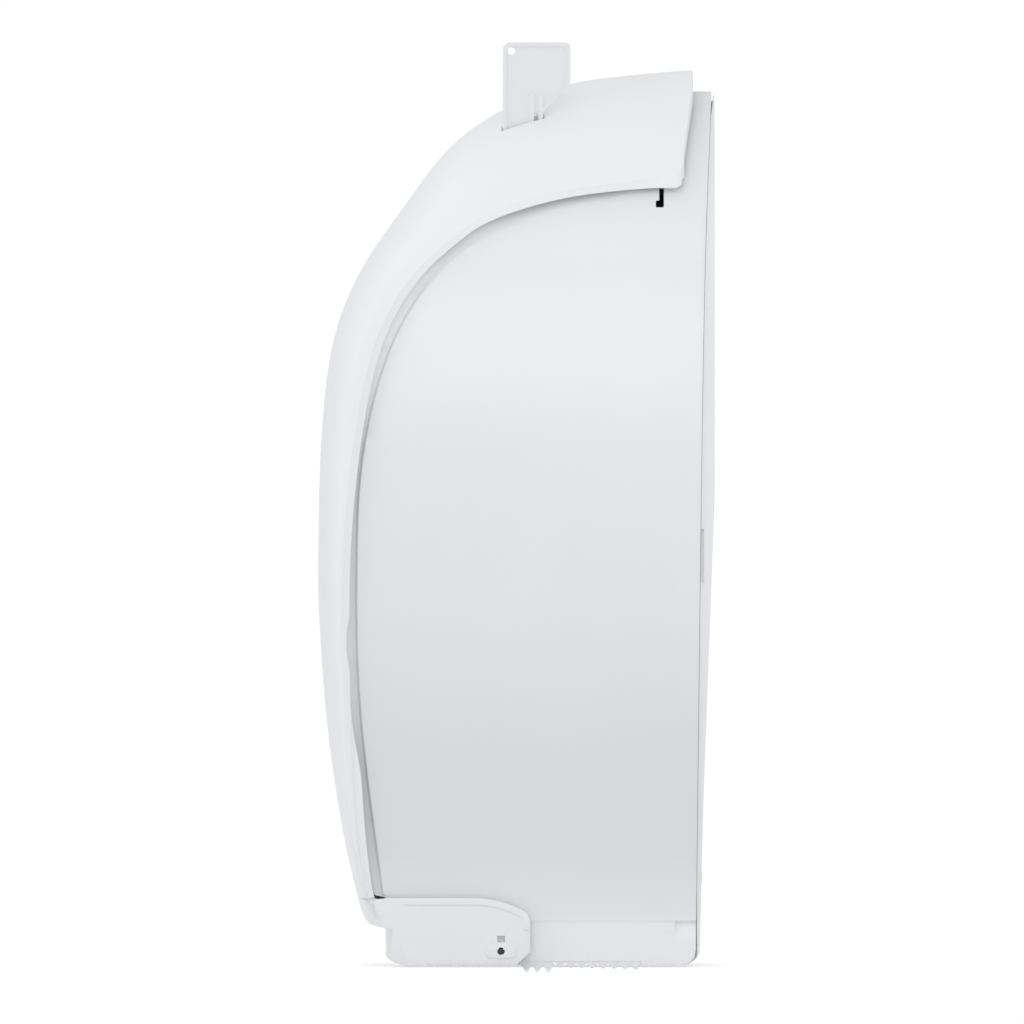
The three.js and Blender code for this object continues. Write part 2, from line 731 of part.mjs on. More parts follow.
function rearHousing() {
  const inner = housingHalfWidth - housingWall;
  const crest = housingHeight - housingWall;
  const bore = outFromWall(archOutline(inner, crest, -cutOverrun), -cutOverrun, overallDepth + cutOverrun);
  const form = outFromWall(archOutline(housingHalfWidth, housingHeight, 0), 0, overallDepth);
  const half = housingHalfWidth + cutOverrun;
  const allRound = outFromWall(archOutline(half, housingHeight + cutOverrun, -cutOverrun), 0, overallDepth);
  const borderArch = archOutline(housingHalfWidth - borderRecess, housingHeight - borderRecess, -cutOverrun);
  const border = allRound
    .subtract(outFromWall(borderArch, 0, overallDepth))
    .intersect(acrossWidth(borderOutline(), -half, half));
  const bandHalf = housingHalfWidth - bandRecess;
  const bandInner = block([-bandHalf, bandHalf], [0, overallDepth], [0, bandHeight]);
  const band = block([-half, half], [0, overallDepth], [0, bandHeight]).subtract(bandInner);

  const across = [-inner - joinOverlap, inner + joinOverlap];
  const floorFront = housingFrontFootDepth - coverClearance;
  const rearFloor = block(across, [plateFrontDepth + gap, rearFloorDepth], [0, floorThickness]);
  const frontFloor = block(across, [floorFront - frontFloorLength, floorFront], [0, floorThickness]);
  const boss = circle(hingeDepth, hingeHeight, hingeBossRadius, smallRoundSides);
  const bossEnds = [inner - hingeBossLength, inner + joinOverlap];
  const hingeBoss = (side) => acrossWidth(boss, ...onSide(side, ...bossEnds));
  let housing = form
    .intersect(acrossWidth(housingOutline(), -half, half))
    .subtract(bore)
    .subtract(border)
    .subtract(band)
    .add(rearFloor)
    .add(frontFloor)
    .add(hingeBoss(1))
    .add(hingeBoss(-1))
    .add(lockGuide());
  for (const place of screwPlaces) housing = housing.add(screwTab(place));
  housing = toothedEdge(housing);

  const pinOutline = circle(hingeDepth, hingeHeight, hingePinRadius + gap, smallRoundSides);
  const pinHole = acrossWidth(pinOutline, -half, half);
  const wellHalf = boltHalfWidth + runningGap;
  const wellRear = boltRearDepth - runningGap;
  const notchRear = wellRear - cheekThickness - catchThickness - catchClearance;
  const wellAcross = [keyX - wellHalf, keyX + wellHalf];
  const wellDepth = [wellRear, boltFrontDepth + runningGap];
  const notch = block(wellAcross, [notchRear, overallDepth], [boltTowerTop, coverHeight]);
  const boltWell = block(wellAcross, wellDepth, [lockFloorHeight, coverHeight]);
  const ventFront = ventSlotDepth + ventSlotWidth / 2;
  const vent = [
    rectangle(ventSlotDepth - ventSlotWidth / 2, ventSlotBottom, ventFront, ventSlotTop),
    rectangle(ventSlotDepth, ventSlotBottom, ventFront + ventFootWidth, ventSlotBottom + ventFootHeight),
  ];
  for (const [x, height] of screwPlaces) {
    const hole = circle(x, height, plateScrewRadius + gap, smallRoundSides);
    housing = housing.subtract(outFromWall(hole, 0, plateFrontDepth + tabThickness + cutOverrun));
  }
  housing = housing.subtract(coverSpace()).subtract(pinHole).subtract(notch).subtract(boltWell);
  for (const outline of vent) housing = housing.subtract(acrossWidth(outline, 0, half));
  return housing;
}

// Back of the wall plate: flat on the wall above, leaning away from it towards the foot
function plateRearPoints() {
  return [
    [plateFootRelief, 0],
    [plateKneeRelief, plateKneeHeight],
    [0, plateFlatBottomHeight],
    [0, housingHeight],
  ];
}

// Shallow pockets moulded into the plate's back beside its middle rib
function backPockets() {
  const outer = housingHalfWidth - backPocketInset;
  const depth = [-cutOverrun, plateFrontDepth - backPocketFloor];
  return backPocketHeightShares.flatMap((shares) => {
    const height = shares.map((share) => share * housingHeight);
    return [-1, 1].map((side) => block(onSide(side, backPocketInnerX, outer), depth, height));
  });
}

// Notches in the plate's side edges where it snaps into the housing
function snapNotches(half, seamLine) {
  return snapNotchHeightShares.flatMap((shares) => {
    const height = shares.map((share) => share * housingHeight);
    const away = (point) => Math.abs(point[1] - height[0]);
    const seam = seamLine.reduce((a, b) => (away(a) < away(b) ? a : b))[0];
    const depth = [seam - snapNotchWidth, plateFrontDepth];
    const cut = (side) => block(onSide(side, half - snapNotchDepth, half + cutOverrun), depth, height);
    return [cut(-1), cut(1)];
  });
}

function wallPlate() {
  const rear = plateRearPoints();
  const housingRear = pairs(housingRearLine()).map(([depth, height]) => [depth - gap, height]);
  const foot = housingRear.at(-1);
  const flangeOutline = [...rear, ...housingRear.slice(1), [foot[0], 0]];
  const half = housingHalfWidth - plateInset;
  const flange = acrossWidth(flangeOutline, -half, half).intersect(
    outFromWall(archOutline(half, housingHeight - plateInset, 0), 0, overallDepth),
  );
  const coreHalf = housingHalfWidth - housingWall - gap;
  const coreOutline = [...rear, [plateFrontDepth, housingHeight], [plateFrontDepth, 0]];
  const core = acrossWidth(coreOutline, -coreHalf, coreHalf).intersect(
    outFromWall(archOutline(coreHalf, housingHeight - housingWall - gap, 0), 0, overallDepth),
  );
  let plate = flange.add(core);
  for (const cut of [...backPockets(), ...snapNotches(half, housingRear)]) plate = plate.subtract(cut);
  for (const share of Object.values(rollHeightShares)) {
    const seat = circle(0, share * housingHeight, spigotRadius + gap);
    plate = plate.subtract(outFromWall(seat, plateFrontDepth - spigotLength, plateFrontDepth + cutOverrun));
  }
  for (const [x, height] of screwPlaces) {
    const hole = circle(x, height, plateScrewRadius + gap, smallRoundSides);
    plate = plate.subtract(outFromWall(hole, -cutOverrun, plateFrontDepth + cutOverrun));
  }
  for (const [acrossShare, heightShare] of wallHoleShares) {
    const x = acrossShare * housingHalfWidth;
    const height = heightShare * housingHeight;
    const hole = circle(x, height, wallHoleRadius, smallRoundSides);
    const sink = circle(x, height, wallHoleSinkRadius, roundSides);
    const front = plateFrontDepth + cutOverrun;
    plate = plate.subtract(outFromWall(hole, -cutOverrun, front));
    plate = plate.subtract(outFromWall(sink, plateFrontDepth - wallHoleSinkDepth, front));
  }
  return plate;
}

function plateScrew(x, height) {
  const seat = plateFrontDepth + gap + tabThickness + gap;
  const head = circle(x, height, plateScrewHeadRadius, smallRoundSides * 2);
  const shank = circle(x, height, plateScrewRadius, smallRoundSides);
  const slotHalf = screwSlotWidth / 2;
  const slotReach = plateScrewHeadRadius + gap;
  const slot = rectangle(x - slotReach, height - slotHalf, x + slotReach, height + slotHalf);
  const top = seat + plateScrewHeadThickness;
  return outFromWall(head, seat, top)
    .add(outFromWall(shank, plateFrontDepth - plateScrewBite, seat + joinOverlap))
    .subtract(outFromWall(slot, top - screwSlotDepth, top + cutOverrun));
}

const flangeSeatDepth = plateFrontDepth + gap;
const flangeFrontDepth = flangeSeatDepth + spindleFlangeThickness;
const hubRearDepth = flangeFrontDepth + gap + brakeWasherThickness + gap;
const hubFrontDepth = spindleEndDepth - gap;

function spindle(height) {
  const bore = endScrewRadius + gap;
  const boreEnd = spindleEndDepth - endScrewLength - gap;
  return turned(
    [
      [0, plateFrontDepth - spigotLength + gap],
      [spigotRadius, plateFrontDepth - spigotLength + gap],
      [spigotRadius, flangeSeatDepth],
      [spindleFlangeRadius, flangeSeatDepth],
      [spindleFlangeRadius, flangeFrontDepth],
      [spindleRadius, flangeFrontDepth],
      [spindleRadius, spindleEndDepth - spindleChamfer],
      [spindleRadius - spindleChamfer, spindleEndDepth],
      [bore, spindleEndDepth],
      [bore, boreEnd],
      [0, boreEnd],
    ],
    height,
  );
}

// Hub: rear flange, barrel that fills the roll's core, and an inner bush joined by ribs
function hub(height) {
  const bore = spindleRadius + gap;
  const bush = bore + hubBushWall;
  const floor = hubRearDepth + hubFlangeThickness;
  const shell = turned(
    [
      [bore, hubRearDepth],
      [hubFlangeRadius, hubRearDepth],
      [hubFlangeRadius, floor],
      [hubRadius, floor],
      [hubRadius, hubFrontDepth - hubNose],
      [hubRadius - hubWall / 2, hubFrontDepth],
      [hubRadius - hubWall, hubFrontDepth],
      [hubRadius - hubWall, floor],
      [bush, floor],
      [bush, hubFrontDepth],
      [bore, hubFrontDepth],
    ],
    height,
  );
  const ribTo = hubFrontDepth - hubNose;
  const parts = [shell];
  const axis = new THREE.Vector2(0, height);
  const spoke = (inner, outer, thickness, to, angle) => {
    const bar = rectangle(inner, height - thickness / 2, outer, height + thickness / 2);
    const outline = bar.map(([u, v]) => new THREE.Vector2(u, v).rotateAround(axis, angle));
    return outFromWall(pairs(outline), floor - joinOverlap, to);
  };
  for (let i = 0; i < hubRibCount; i++) {
    const angle = (2 * Math.PI * i) / hubRibCount;
    parts.push(spoke(bush - joinOverlap / 2, hubRadius - hubWall / 2, hubRibThickness, ribTo, angle));
  }
  for (let i = 0; i < hubFinCount; i++) {
    const angle = (2 * Math.PI * (i + 0.5)) / hubFinCount;
    const inner = hubRadius - hubWall / 2;
    parts.push(spoke(inner, hubRadius + hubFinHeight, hubFinWidth, ribTo - hubNose, angle));
  }
  return joined(parts);
}

function ringWasher(height, inner, outer, from, to) {
  return turned([[inner, from], [outer, from], [outer, to], [inner, to]], height);
}

function endScrew(height) {
  const seat = spindleEndDepth + gap + endWasherThickness + gap;
  const top = seat + endScrewHeadThickness;
  const slotHalf = screwSlotWidth / 2;
  const slotReach = endScrewHeadRadius + gap;
  const slot = rectangle(-slotReach, height - slotHalf, slotReach, height + slotHalf);
  return turned(
    [
      [0, spindleEndDepth - endScrewLength],
      [endScrewRadius, spindleEndDepth - endScrewLength],
      [endScrewRadius, seat],
      [endScrewHeadRadius, seat],
      [endScrewHeadRadius, top - endScrewHeadThickness / 2],
      [endScrewHeadRadius / 2, top],
      [0, top],
    ],
    height,
    smallRoundSides * 2,
  ).subtract(outFromWall(slot, top - screwSlotDepth, top + cutOverrun));
}

function hingePin(side) {
  const inner = housingHalfWidth - housingWall - hingeBossLength;
  const outer = coverHalfWidth - hingePinRecess;
  const outline = circle(hingeDepth, hingeHeight, hingePinRadius, smallRoundSides);
  return acrossWidth(outline, ...onSide(side, inner, outer));
}

// Key: a flat plate with a framed face, drawn in behind to a slotted tongue
function keyOutline(inset) {
  return rounded([
    [keyFrontDepth - inset, keyTongueTip + inset],
    [keyFrontDepth - inset, keyTop - inset - keyChamfer],
    [keyFrontDepth - inset - keyChamfer, keyTop - inset],
    [keyRearDepth + inset, keyTop - inset, keyRadius],
    [keyRearDepth + inset, keyTop - keyRearLength, keyRadius],
    [keyTongueRear + inset, keyTongueTop],
    [keyTongueRear + inset, keyTongueTip + inset],
  ]);
}

function key() {
  const half = keyThickness / 2;
  const hole = circle(keyFrontDepth - keyHoleInset, keyTop - keyHoleInset, keyHoleRadius, smallRoundSides);
  const face = acrossWidth(keyOutline(keyRimWidth), keyX + half - keyRimRecess, keyX + half + cutOverrun);
  const slotRear = keyTongueRear + keyRibWidth;
  const slotFront = slotRear + keySlotWidth;
  const ribHeight = [keyTongueTip, keyTongueTop + keyRibLength];
  const ribs = [
    block([keyX, keyX + half], [keyTongueRear, slotRear], ribHeight),
    block([keyX, keyX + half], [slotFront, slotFront + keyRibWidth], ribHeight),
  ];
  const slotHeight = [keyTongueTip - cutOverrun, keyTongueTop];
  const slot = block([keyX - keyThickness, keyX + keyThickness], [slotRear, slotFront], slotHeight);
  return acrossWidth(keyOutline(0), keyX - half, keyX + half)
    .subtract(face.subtract(joined(ribs)))
    .subtract(acrossWidth(hole, keyX - keyThickness, keyX + keyThickness))
    .subtract(slot);
}

const boltFootTop = keyTongueTip - gap;

function lockBolt() {
  const footBottom = boltFootTop - boltFootThickness;
  const outline = rounded([
    [boltRearDepth, footBottom],
    [boltFrontDepth, footBottom],
    [boltFrontDepth, boltFootTop],
    [boltRearDepth + boltTowerThickness, boltFootTop],
    [boltRearDepth + boltTowerThickness, boltTowerTop, keyChamfer],
    [boltRearDepth, boltTowerTop],
  ]);
  return acrossWidth(outline, keyX - boltHalfWidth, keyX + boltHalfWidth);
}

// Coil spring between the guide's floor and the bolt, pressed short while the key is in
function lockSpring() {
  const bottom = lockFloorHeight + gap + springWire / 2;
  const top = boltFootTop - boltFootThickness - gap - springWire / 2;
  const middle = (boltRearDepth + boltFrontDepth) / 2;
  const steps = springTurns * smallRoundSides;
  const points = Array.from({ length: steps + 1 }, (_, i) => {
    const [x, depth] = circle(keyX, middle, springRadius, smallRoundSides)[i % smallRoundSides];
    return new THREE.Vector3(x, -depth, bottom + ((top - bottom) * i) / steps);
  });
  const ring = circle(0, 0, springWire / 2, wireSides);
  const wire = new THREE.Shape(ring.map(([u, v]) => new THREE.Vector2(u, v)));
  const extrudePath = new THREE.CatmullRomCurve3(points);
  return solidOf(new THREE.ExtrudeGeometry(wire, { steps, extrudePath, bevelEnabled: false }));
}

function rollCarrier(place) {
  const height = rollHeightShares[place] * housingHeight;
  const washerBore = spindleRadius + gap;
  const endBore = endScrewRadius + gap;
  const brake = ringWasher(height, washerBore, brakeWasherRadius, flangeFrontDepth + gap, hubRearDepth - gap);
  const endFrom = spindleEndDepth + gap;
  const end = ringWasher(height, endBore, endWasherRadius, endFrom, endFrom + endWasherThickness);
  const carrier = new THREE.Group();
  carrier.add(
    meshOf(place + "_spindle", spindle(height), grey),
    meshOf(place + "_brake_washer", brake, felt),
    meshOf(place + "_roll_hub", hub(height), innerWhite),
    meshOf(place + "_end_washer", end, steel),
    meshOf(place + "_end_screw", endScrew(height), steel),
  );
  return carrier;
}

function frontAssembly() {
  const group = new THREE.Group();
  group.add(meshOf("front_cover", frontCover(), white), meshOf("key", key(), white));
  return group;
}

function rearAssembly() {
  const group = new THREE.Group();
  group.add(meshOf("wall_plate", wallPlate(), innerWhite), meshOf("rear_housing", rearHousing(), white));
  screwPlaces.forEach(([x, height], i) => {
    group.add(meshOf("plate_screw_" + (i + 1), plateScrew(x, height), steel));
  });
  group.add(meshOf("hinge_pin_right", hingePin(1), darkSteel));
  group.add(meshOf("hinge_pin_left", hingePin(-1), darkSteel));
  group.add(meshOf("lock_bolt", lockBolt(), grey), meshOf("lock_spring", lockSpring(), steel));
  group.add(rollCarrier("upper"), rollCarrier("lower"));
  return group;
}

const dispenser = new THREE.Group();
dispenser.add(rearAssembly(), frontAssembly());
dispenser.position.z = -originHeight;

export default dispenser;
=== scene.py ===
# Wall-mounted dispenser for two toilet rolls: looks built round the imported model, in metres.
import json
import math

import bmesh
import bpy
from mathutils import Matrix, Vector
from mathutils.bvhtree import BVHTree


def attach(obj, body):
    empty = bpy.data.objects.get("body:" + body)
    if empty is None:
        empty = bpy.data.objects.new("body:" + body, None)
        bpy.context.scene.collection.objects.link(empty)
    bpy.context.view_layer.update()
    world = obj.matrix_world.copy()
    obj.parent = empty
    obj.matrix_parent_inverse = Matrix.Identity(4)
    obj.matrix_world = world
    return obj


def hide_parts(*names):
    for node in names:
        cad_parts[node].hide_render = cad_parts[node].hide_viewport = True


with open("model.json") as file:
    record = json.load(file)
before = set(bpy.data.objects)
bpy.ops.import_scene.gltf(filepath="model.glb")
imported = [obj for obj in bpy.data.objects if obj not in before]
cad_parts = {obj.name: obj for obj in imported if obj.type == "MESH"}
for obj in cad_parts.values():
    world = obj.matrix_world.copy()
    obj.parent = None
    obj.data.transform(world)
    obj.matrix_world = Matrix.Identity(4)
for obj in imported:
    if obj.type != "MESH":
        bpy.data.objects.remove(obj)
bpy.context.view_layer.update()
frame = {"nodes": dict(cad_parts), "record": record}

MM = 0.001
ORIGIN_HEIGHT = 232.0
FLOOR_BELOW_FOOT = 1.5
FLOOR_Z = -(ORIGIN_HEIGHT + FLOOR_BELOW_FOOT) * MM
nodes = frame["nodes"]


# Materials: moulded plastic, steel and felt, all from noise in object coordinates
def new_material(name):
    mat = bpy.data.materials.new(name)
    mat.use_nodes = True
    tree = mat.node_tree
    shader = next(n for n in tree.nodes if n.type == "BSDF_PRINCIPLED")
    coords = tree.nodes.new("ShaderNodeTexCoord")
    return mat, tree, shader, coords


def noise(tree, coords, scale, detail=2.0, stretch=None):
    tex = tree.nodes.new("ShaderNodeTexNoise")
    tex.inputs["Scale"].default_value = scale
    tex.inputs["Detail"].default_value = detail
    source = coords.outputs["Object"]
    if stretch:
        mapping = tree.nodes.new("ShaderNodeMapping")
        mapping.inputs["Scale"].default_value = stretch
        tree.links.new(source, mapping.inputs["Vector"])
        source = mapping.outputs["Vector"]
    tree.links.new(source, tex.inputs["Vector"])
    return tex.outputs["Fac"]


def spread(tree, source, low, high, start=0.3, end=0.7):
    """Maps a noise value to a range of numbers."""
    ramp = tree.nodes.new("ShaderNodeMapRange")
    ramp.inputs["From Min"].default_value = start
    ramp.inputs["From Max"].default_value = end
    ramp.inputs["To Min"].default_value = low
    ramp.inputs["To Max"].default_value = high
    tree.links.new(source, ramp.inputs["Value"])
    return ramp.outputs["Result"]


def tinted(tree, source, dark, light):
    """Mixes two colours by a value from 0 to 1."""
    mix = tree.nodes.new("ShaderNodeMix")
    mix.data_type = "RGBA"
    tree.links.new(source, mix.inputs["Factor"])
    mix.inputs["A"].default_value = (*dark, 1)
    mix.inputs["B"].default_value = (*light, 1)
    return mix.outputs["Result"]


def bumped(tree, shader, height, strength, distance):
    bump = tree.nodes.new("ShaderNodeBump")
    bump.inputs["Strength"].default_value = strength
    bump.inputs["Distance"].default_value = distance
    tree.links.new(height, bump.inputs["Height"])
    tree.links.new(bump.outputs["Normal"], shader.inputs["Normal"])


def painted_shade_by_height(tree, coords, colour, painted_shade_stops):
    """Paints shade into a colour by height, as (height in metres, share) from the foot up."""
    parts = tree.nodes.new("ShaderNodeSeparateXYZ")
    tree.links.new(coords.outputs["Object"], parts.inputs["Vector"])
    ramp = tree.nodes.new("ShaderNodeValToRGB")
    low, high = painted_shade_stops[0][0], painted_shade_stops[-1][0]
    span = spread(tree, parts.outputs["Z"], 0.0, 1.0, low, high)
    tree.links.new(span, ramp.inputs["Fac"])
    points = ramp.color_ramp.elements
    while len(points) < len(painted_shade_stops):
        points.new(0.5)
    for point, (height, share) in zip(points, painted_shade_stops):
        point.position = (height - low) / (high - low)
        point.color = (share, share, share, 1)
    mix = tree.nodes.new("ShaderNodeMix")
    mix.data_type = "RGBA"
    mix.blend_type = "MULTIPLY"
    mix.inputs["Factor"].default_value = 1.0
    tree.links.new(colour, mix.inputs["A"])
    tree.links.new(ramp.outputs["Color"], mix.inputs["B"])
    return mix.outputs["Result"]


CLOUD_TINT = 0.02


def plastic(name, colour, roughness, painted_shade_stops=None):
    """Injection-moulded plastic: faint flow clouds, an even satin grain and slightly uneven gloss."""
    mat, tree, shader, coords = new_material(name)
    clouds = noise(tree, coords, 14.0, 3.0, (1.0, 1.0, 0.55))
    dark = tuple(c * (1 - CLOUD_TINT) for c in colour)
    light = tuple(min(1.0, c * (1 + CLOUD_TINT / 2)) for c in colour)
    base = tinted(tree, spread(tree, clouds, 0, 1), dark, light)
    # Painted shade: given shade stops darken the colour by height
    if painted_shade_stops:
        base = painted_shade_by_height(tree, coords, base, painted_shade_stops)
    tree.links.new(base, shader.inputs["Base Color"])
    mottled = noise(tree, coords, 160.0, 4.0)
    tree.links.new(spread(tree, mottled, roughness * 0.9, roughness * 1.1), shader.inputs["Roughness"])
    fine = noise(tree, coords, 3200.0, 2.0)
    bumped(tree, shader, fine, 0.08, 0.00004)
    shader.inputs["Specular IOR Level"].default_value = 0.45
    return mat


def steel(name, colour, roughness, stretch):
    """Plated or drawn steel with fine lines along the way it was worked."""
    mat, tree, shader, coords = new_material(name)
    lines = noise(tree, coords, 900.0, 3.0, stretch)
    dark = tuple(c * 0.86 for c in colour)
    base = tinted(tree, spread(tree, lines, 0, 1), dark, colour)
    tree.links.new(base, shader.inputs["Base Color"])
    gloss = spread(tree, lines, roughness * 0.75, roughness * 1.3)
    tree.links.new(gloss, shader.inputs["Roughness"])
    bumped(tree, shader, lines, 0.15, 0.00003)
    shader.inputs["Metallic"].default_value = 1.0
    return mat


def felt(name, colour):
    """Pressed wool felt: fibres as stretched noise in two directions."""
    mat, tree, shader, coords = new_material(name)
    fibres = noise(tree, coords, 2600.0, 4.0, (1.0, 1.0, 0.25))
    dark = tuple(c * 0.6 for c in colour)
    base = tinted(tree, spread(tree, fibres, 0, 1), dark, colour)
    tree.links.new(base, shader.inputs["Base Color"])
    shader.inputs["Roughness"].default_value = 0.95
    crossed = noise(tree, coords, 1800.0, 5.0, (0.3, 1.0, 1.0))
    bumped(tree, shader, crossed, 0.8, 0.0002)
    return mat


# Painted shade and light on the housing's plastic by height, as (height in metres, share): darker down the
# side and over the roof, full at the foot band and where the arch meets the side
HOUSING_PAINTED_SHADE = (
    (-0.232, 1.0), (-0.217, 1.0), (-0.215, 0.93), (-0.192, 0.85), (-0.158, 0.85), (-0.1055, 0.918),
    (-0.053, 0.935), (-0.029, 0.985), (-0.008, 1.0), (0.003, 0.965), (0.009, 0.935), (0.075, 0.93),
)
MATERIALS = {
    "cover_plastic": plastic("cover_plastic", (0.895, 0.905, 0.92), 0.40),
    "housing_plastic": plastic("housing_plastic", (0.925, 0.93, 0.945), 0.36, painted_shade_stops=HOUSING_PAINTED_SHADE),
    "plate_plastic": plastic("plate_plastic", (0.86, 0.865, 0.88), 0.45),
    "hub_plastic": plastic("hub_plastic", (0.80, 0.81, 0.82), 0.38),
    "spindle_plastic": plastic("spindle_plastic", (0.40, 0.41, 0.43), 0.42),
    "lock_plastic": plastic("lock_plastic", (0.50, 0.51, 0.53), 0.40),
    "key_plastic": plastic("key_plastic", (0.80, 0.81, 0.83), 0.34),
    "zinc_steel": steel("zinc_steel", (0.66, 0.67, 0.69), 0.32, (1.0, 0.12, 1.0)),
    # Painted shade: the hinge pins' near-black stands in for the shade deep in their holes
    "dark_steel": steel("dark_steel", (0.10, 0.10, 0.11), 0.42, (0.12, 1.0, 1.0)),
    "spring_steel": steel("spring_steel", (0.55, 0.56, 0.58), 0.28, (0.4, 0.4, 1.0)),
    "brake_felt": felt("brake_felt", (0.075, 0.08, 0.088)),
}


def dress(obj, slot):
    obj.data.materials.clear()
    obj.data.materials.append(MATERIALS[slot])


def smooth(obj, angle=35):
    """Smooth shading that keeps the edges sharper than the angle."""
    mesh = obj.data
    bm = bmesh.new()
    bm.from_mesh(mesh)
    for face in bm.faces:
        face.smooth = True
    limit = math.radians(angle)
    for edge in bm.edges:
        edge.smooth = len(edge.link_faces) == 2 and edge.calc_face_angle(0) < limit
    bm.to_mesh(mesh)
    bm.free()


# Shapes: side outlines in millimetres, as (depth from the wall, height above the foot).
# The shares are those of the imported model, of its overall depth and the cover's height.
COVER_HEIGHT = 311.0
OVERALL_DEPTH = 137.8
COVER_HALF_WIDTH = 73.5
COVER_WALL = 2.8
HOUSING_HEIGHT = 303.6
HOUSING_HALF_WIDTH = 69.0
CREST_SHARES = (
    (0.054, 1), (0.218, 0.994), (0.377, 0.983), (0.533, 0.956), (0.668, 0.913),
    (0.784, 0.847), (0.896, 0.773), (0.962, 0.697), (0.991, 0.598), (1, 0.476),
    (0.997, 0.379), (0.975, 0.257), (0.938, 0.148), (0.8955, 0.066), (0.874, 0.0457),
)
CORNER_SHARES = (
    (0.065, 0.763), (0.225, 0.765), (0.374, 0.768), (0.508, 0.768), (0.613, 0.765),
    (0.704, 0.76), (0.791, 0.7315), (0.853, 0.6656), (0.891, 0.579), (0.9165, 0.469),
    (0.9216, 0.373), (0.9144, 0.254), (0.894, 0.148), (0.852, 0.0675), (0.8287, 0.0405),
)
LIP_SHARES = (
    (0.877, 0.0727), (0.889, 0.0939), (0.9064, 0.1672), (0.9144, 0.2392), (0.9216, 0.3794),
    (0.9151, 0.4823), (0.894, 0.5746), (0.8636, 0.6527), (0.8229, 0.71), (0.7656, 0.7531),
    (0.7134, 0.781), (0.6386, 0.809), (0.5776, 0.828), (0.4652, 0.846), (0.3266, 0.8601),
    (0.1473, 0.8669),
)
PANEL_SHARES = (
    (0.8338, 0.0804), (0.8462, 0.1219), (0.8788, 0.228), (0.8991, 0.3399), (0.8991, 0.4514),
    (0.894, 0.5354), (0.8687, 0.608), (0.8309, 0.6688), (0.7925, 0.7087), (0.7562, 0.7367),
    (0.6923, 0.7717), (0.6255, 0.7971), (0.5711, 0.8106), (0.4906, 0.8273), (0.3897, 0.844),
    (0.2177, 0.8569),
)
EAR_TOP = 23.2
BEAD_WIDTH = 2.4
PIN_HEIGHT = 4.8
PIN_HOLE = 1.3
TOE_DEPTH = 114.4
TOE_CORNER = 8.0
TOE_FOOT_REACH = 6.8
TOE_FOOT_RISE = 3.4
TOE_REAR = 100.0
TOE_TOP = 21.2
BAND_REAR = 10.6
BAND_REAR_TOP = 281.0
BAND_CORNER = 3.5
LIP_CHAMFER = 2.8
LIP_CHAMFER_DROP = 1.1
LIP_PASSES = 80
NOTCH_HEIGHT = 0.36 * COVER_HEIGHT
NOTCH_DEPTH = 1.0


def at(x, depth, height):
    """A point in the row frame, in metres."""
    return (x * MM, -depth * MM, (height - ORIGIN_HEIGHT) * MM)


def smoothstep(value, low, high):
    t = min(1.0, max(0.0, (value - low) / (high - low)))
    return t * t * (3 - 2 * t)


class Spline:
    """Catmull-Rom curve through shares of the cover's depth and height."""

    def __init__(self, shares):
        self.points = [(d * OVERALL_DEPTH, h * COVER_HEIGHT) for d, h in shares]

    def at(self, t):
        points = self.points
        place = (len(points) - 1) * min(1.0, max(0.0, t))
        i = min(int(place), len(points) - 2)
        w = place - i
        four = [points[max(i - 1, 0)], points[i], points[i + 1], points[min(i + 2, len(points) - 1)]]
        out = []
        for a, b, c, d in zip(*four):
            v0, v1 = (c - a) / 2, (d - b) / 2
            cubic, square = 2 * b - 2 * c + v0 + v1, -3 * b + 3 * c - 2 * v0 - v1
            out.append(cubic * w**3 + square * w**2 + v0 * w + b)
        return tuple(out)

    def line(self, steps, passes=0):
        """The curve as points, evened out between its fixed ends."""
        line = [self.at(i / steps) for i in range(steps + 1)]
        for _ in range(passes):
            threes = zip(line, line[1:], line[2:])
            inner = [tuple((a + 2 * b + c) / 4 for a, b, c in zip(*three)) for three in threes]
            line = [line[0]] + inner + [line[-1]]
        return line


CREST, CORNER = Spline(CREST_SHARES), Spline(CORNER_SHARES)


def new_object(name, verts, faces):
    mesh = bpy.data.meshes.new(name)
    mesh.from_pydata(verts, [], faces)
    mesh.validate()
    obj = bpy.data.objects.new(name, mesh)
    bpy.context.scene.collection.objects.link(obj)
    bm = bmesh.new()
    bm.from_mesh(mesh)
    bmesh.ops.recalc_face_normals(bm, faces=bm.faces)
    bm.to_mesh(mesh)
    bm.free()
    return obj


def settle(obj):
    """Turns the modifiers into plain mesh."""
    graph = bpy.context.evaluated_depsgraph_get()
    made = bpy.data.meshes.new_from_object(obj.evaluated_get(graph))
    obj.modifiers.clear()
    old = obj.data
    obj.data = made
    bpy.data.meshes.remove(old)
    return obj


def bevel(obj, width, degrees):
    """Small round edges, as a modifier, where faces meet at more than an angle."""
    edge = obj.modifiers.new("edge", "BEVEL")
    edge.width = width * MM
    edge.segments = 2
    edge.limit_method = "ANGLE"
    edge.angle_limit = math.radians(degrees)


def combine(obj, others, operation):
    """Joins solids to a body, or cuts them from it."""
    for other in others:
        mod = obj.modifiers.new(operation, "BOOLEAN")
        mod.operation = operation
        mod.solver = "MANIFOLD"
        mod.object = other
        settle(obj)
        bpy.data.objects.remove(other)
    return obj


def extruded(outline, low, high, place, name="slab", edge=0.0):
    """A closed slab of an outline between two levels, its rims rounded by edge."""
    verts = [place(u, v, low) for u, v in outline] + [place(u, v, high) for u, v in outline]
    n = len(outline)
    faces = [tuple(range(n)), tuple(range(2 * n - 1, n - 1, -1))]
    faces += [(i, (i + 1) % n, n + (i + 1) % n, n + i) for i in range(n)]
    obj = new_object(name, verts, faces)
    if edge:
        bevel(obj, edge, 50)
        settle(obj)
    return obj


def side_slab(outline, x0, x1, **kind):
    """A slab of a side outline [depth, height] between two places across the width."""
    return extruded(outline, x0, x1, lambda u, v, w: at(w, u, v), **kind)


def out_slab(outline, d0, d1, **kind):
    """A slab of a front outline [x, height] between two depths."""
    return extruded(outline, d0, d1, lambda u, v, w: at(u, w, v), **kind)


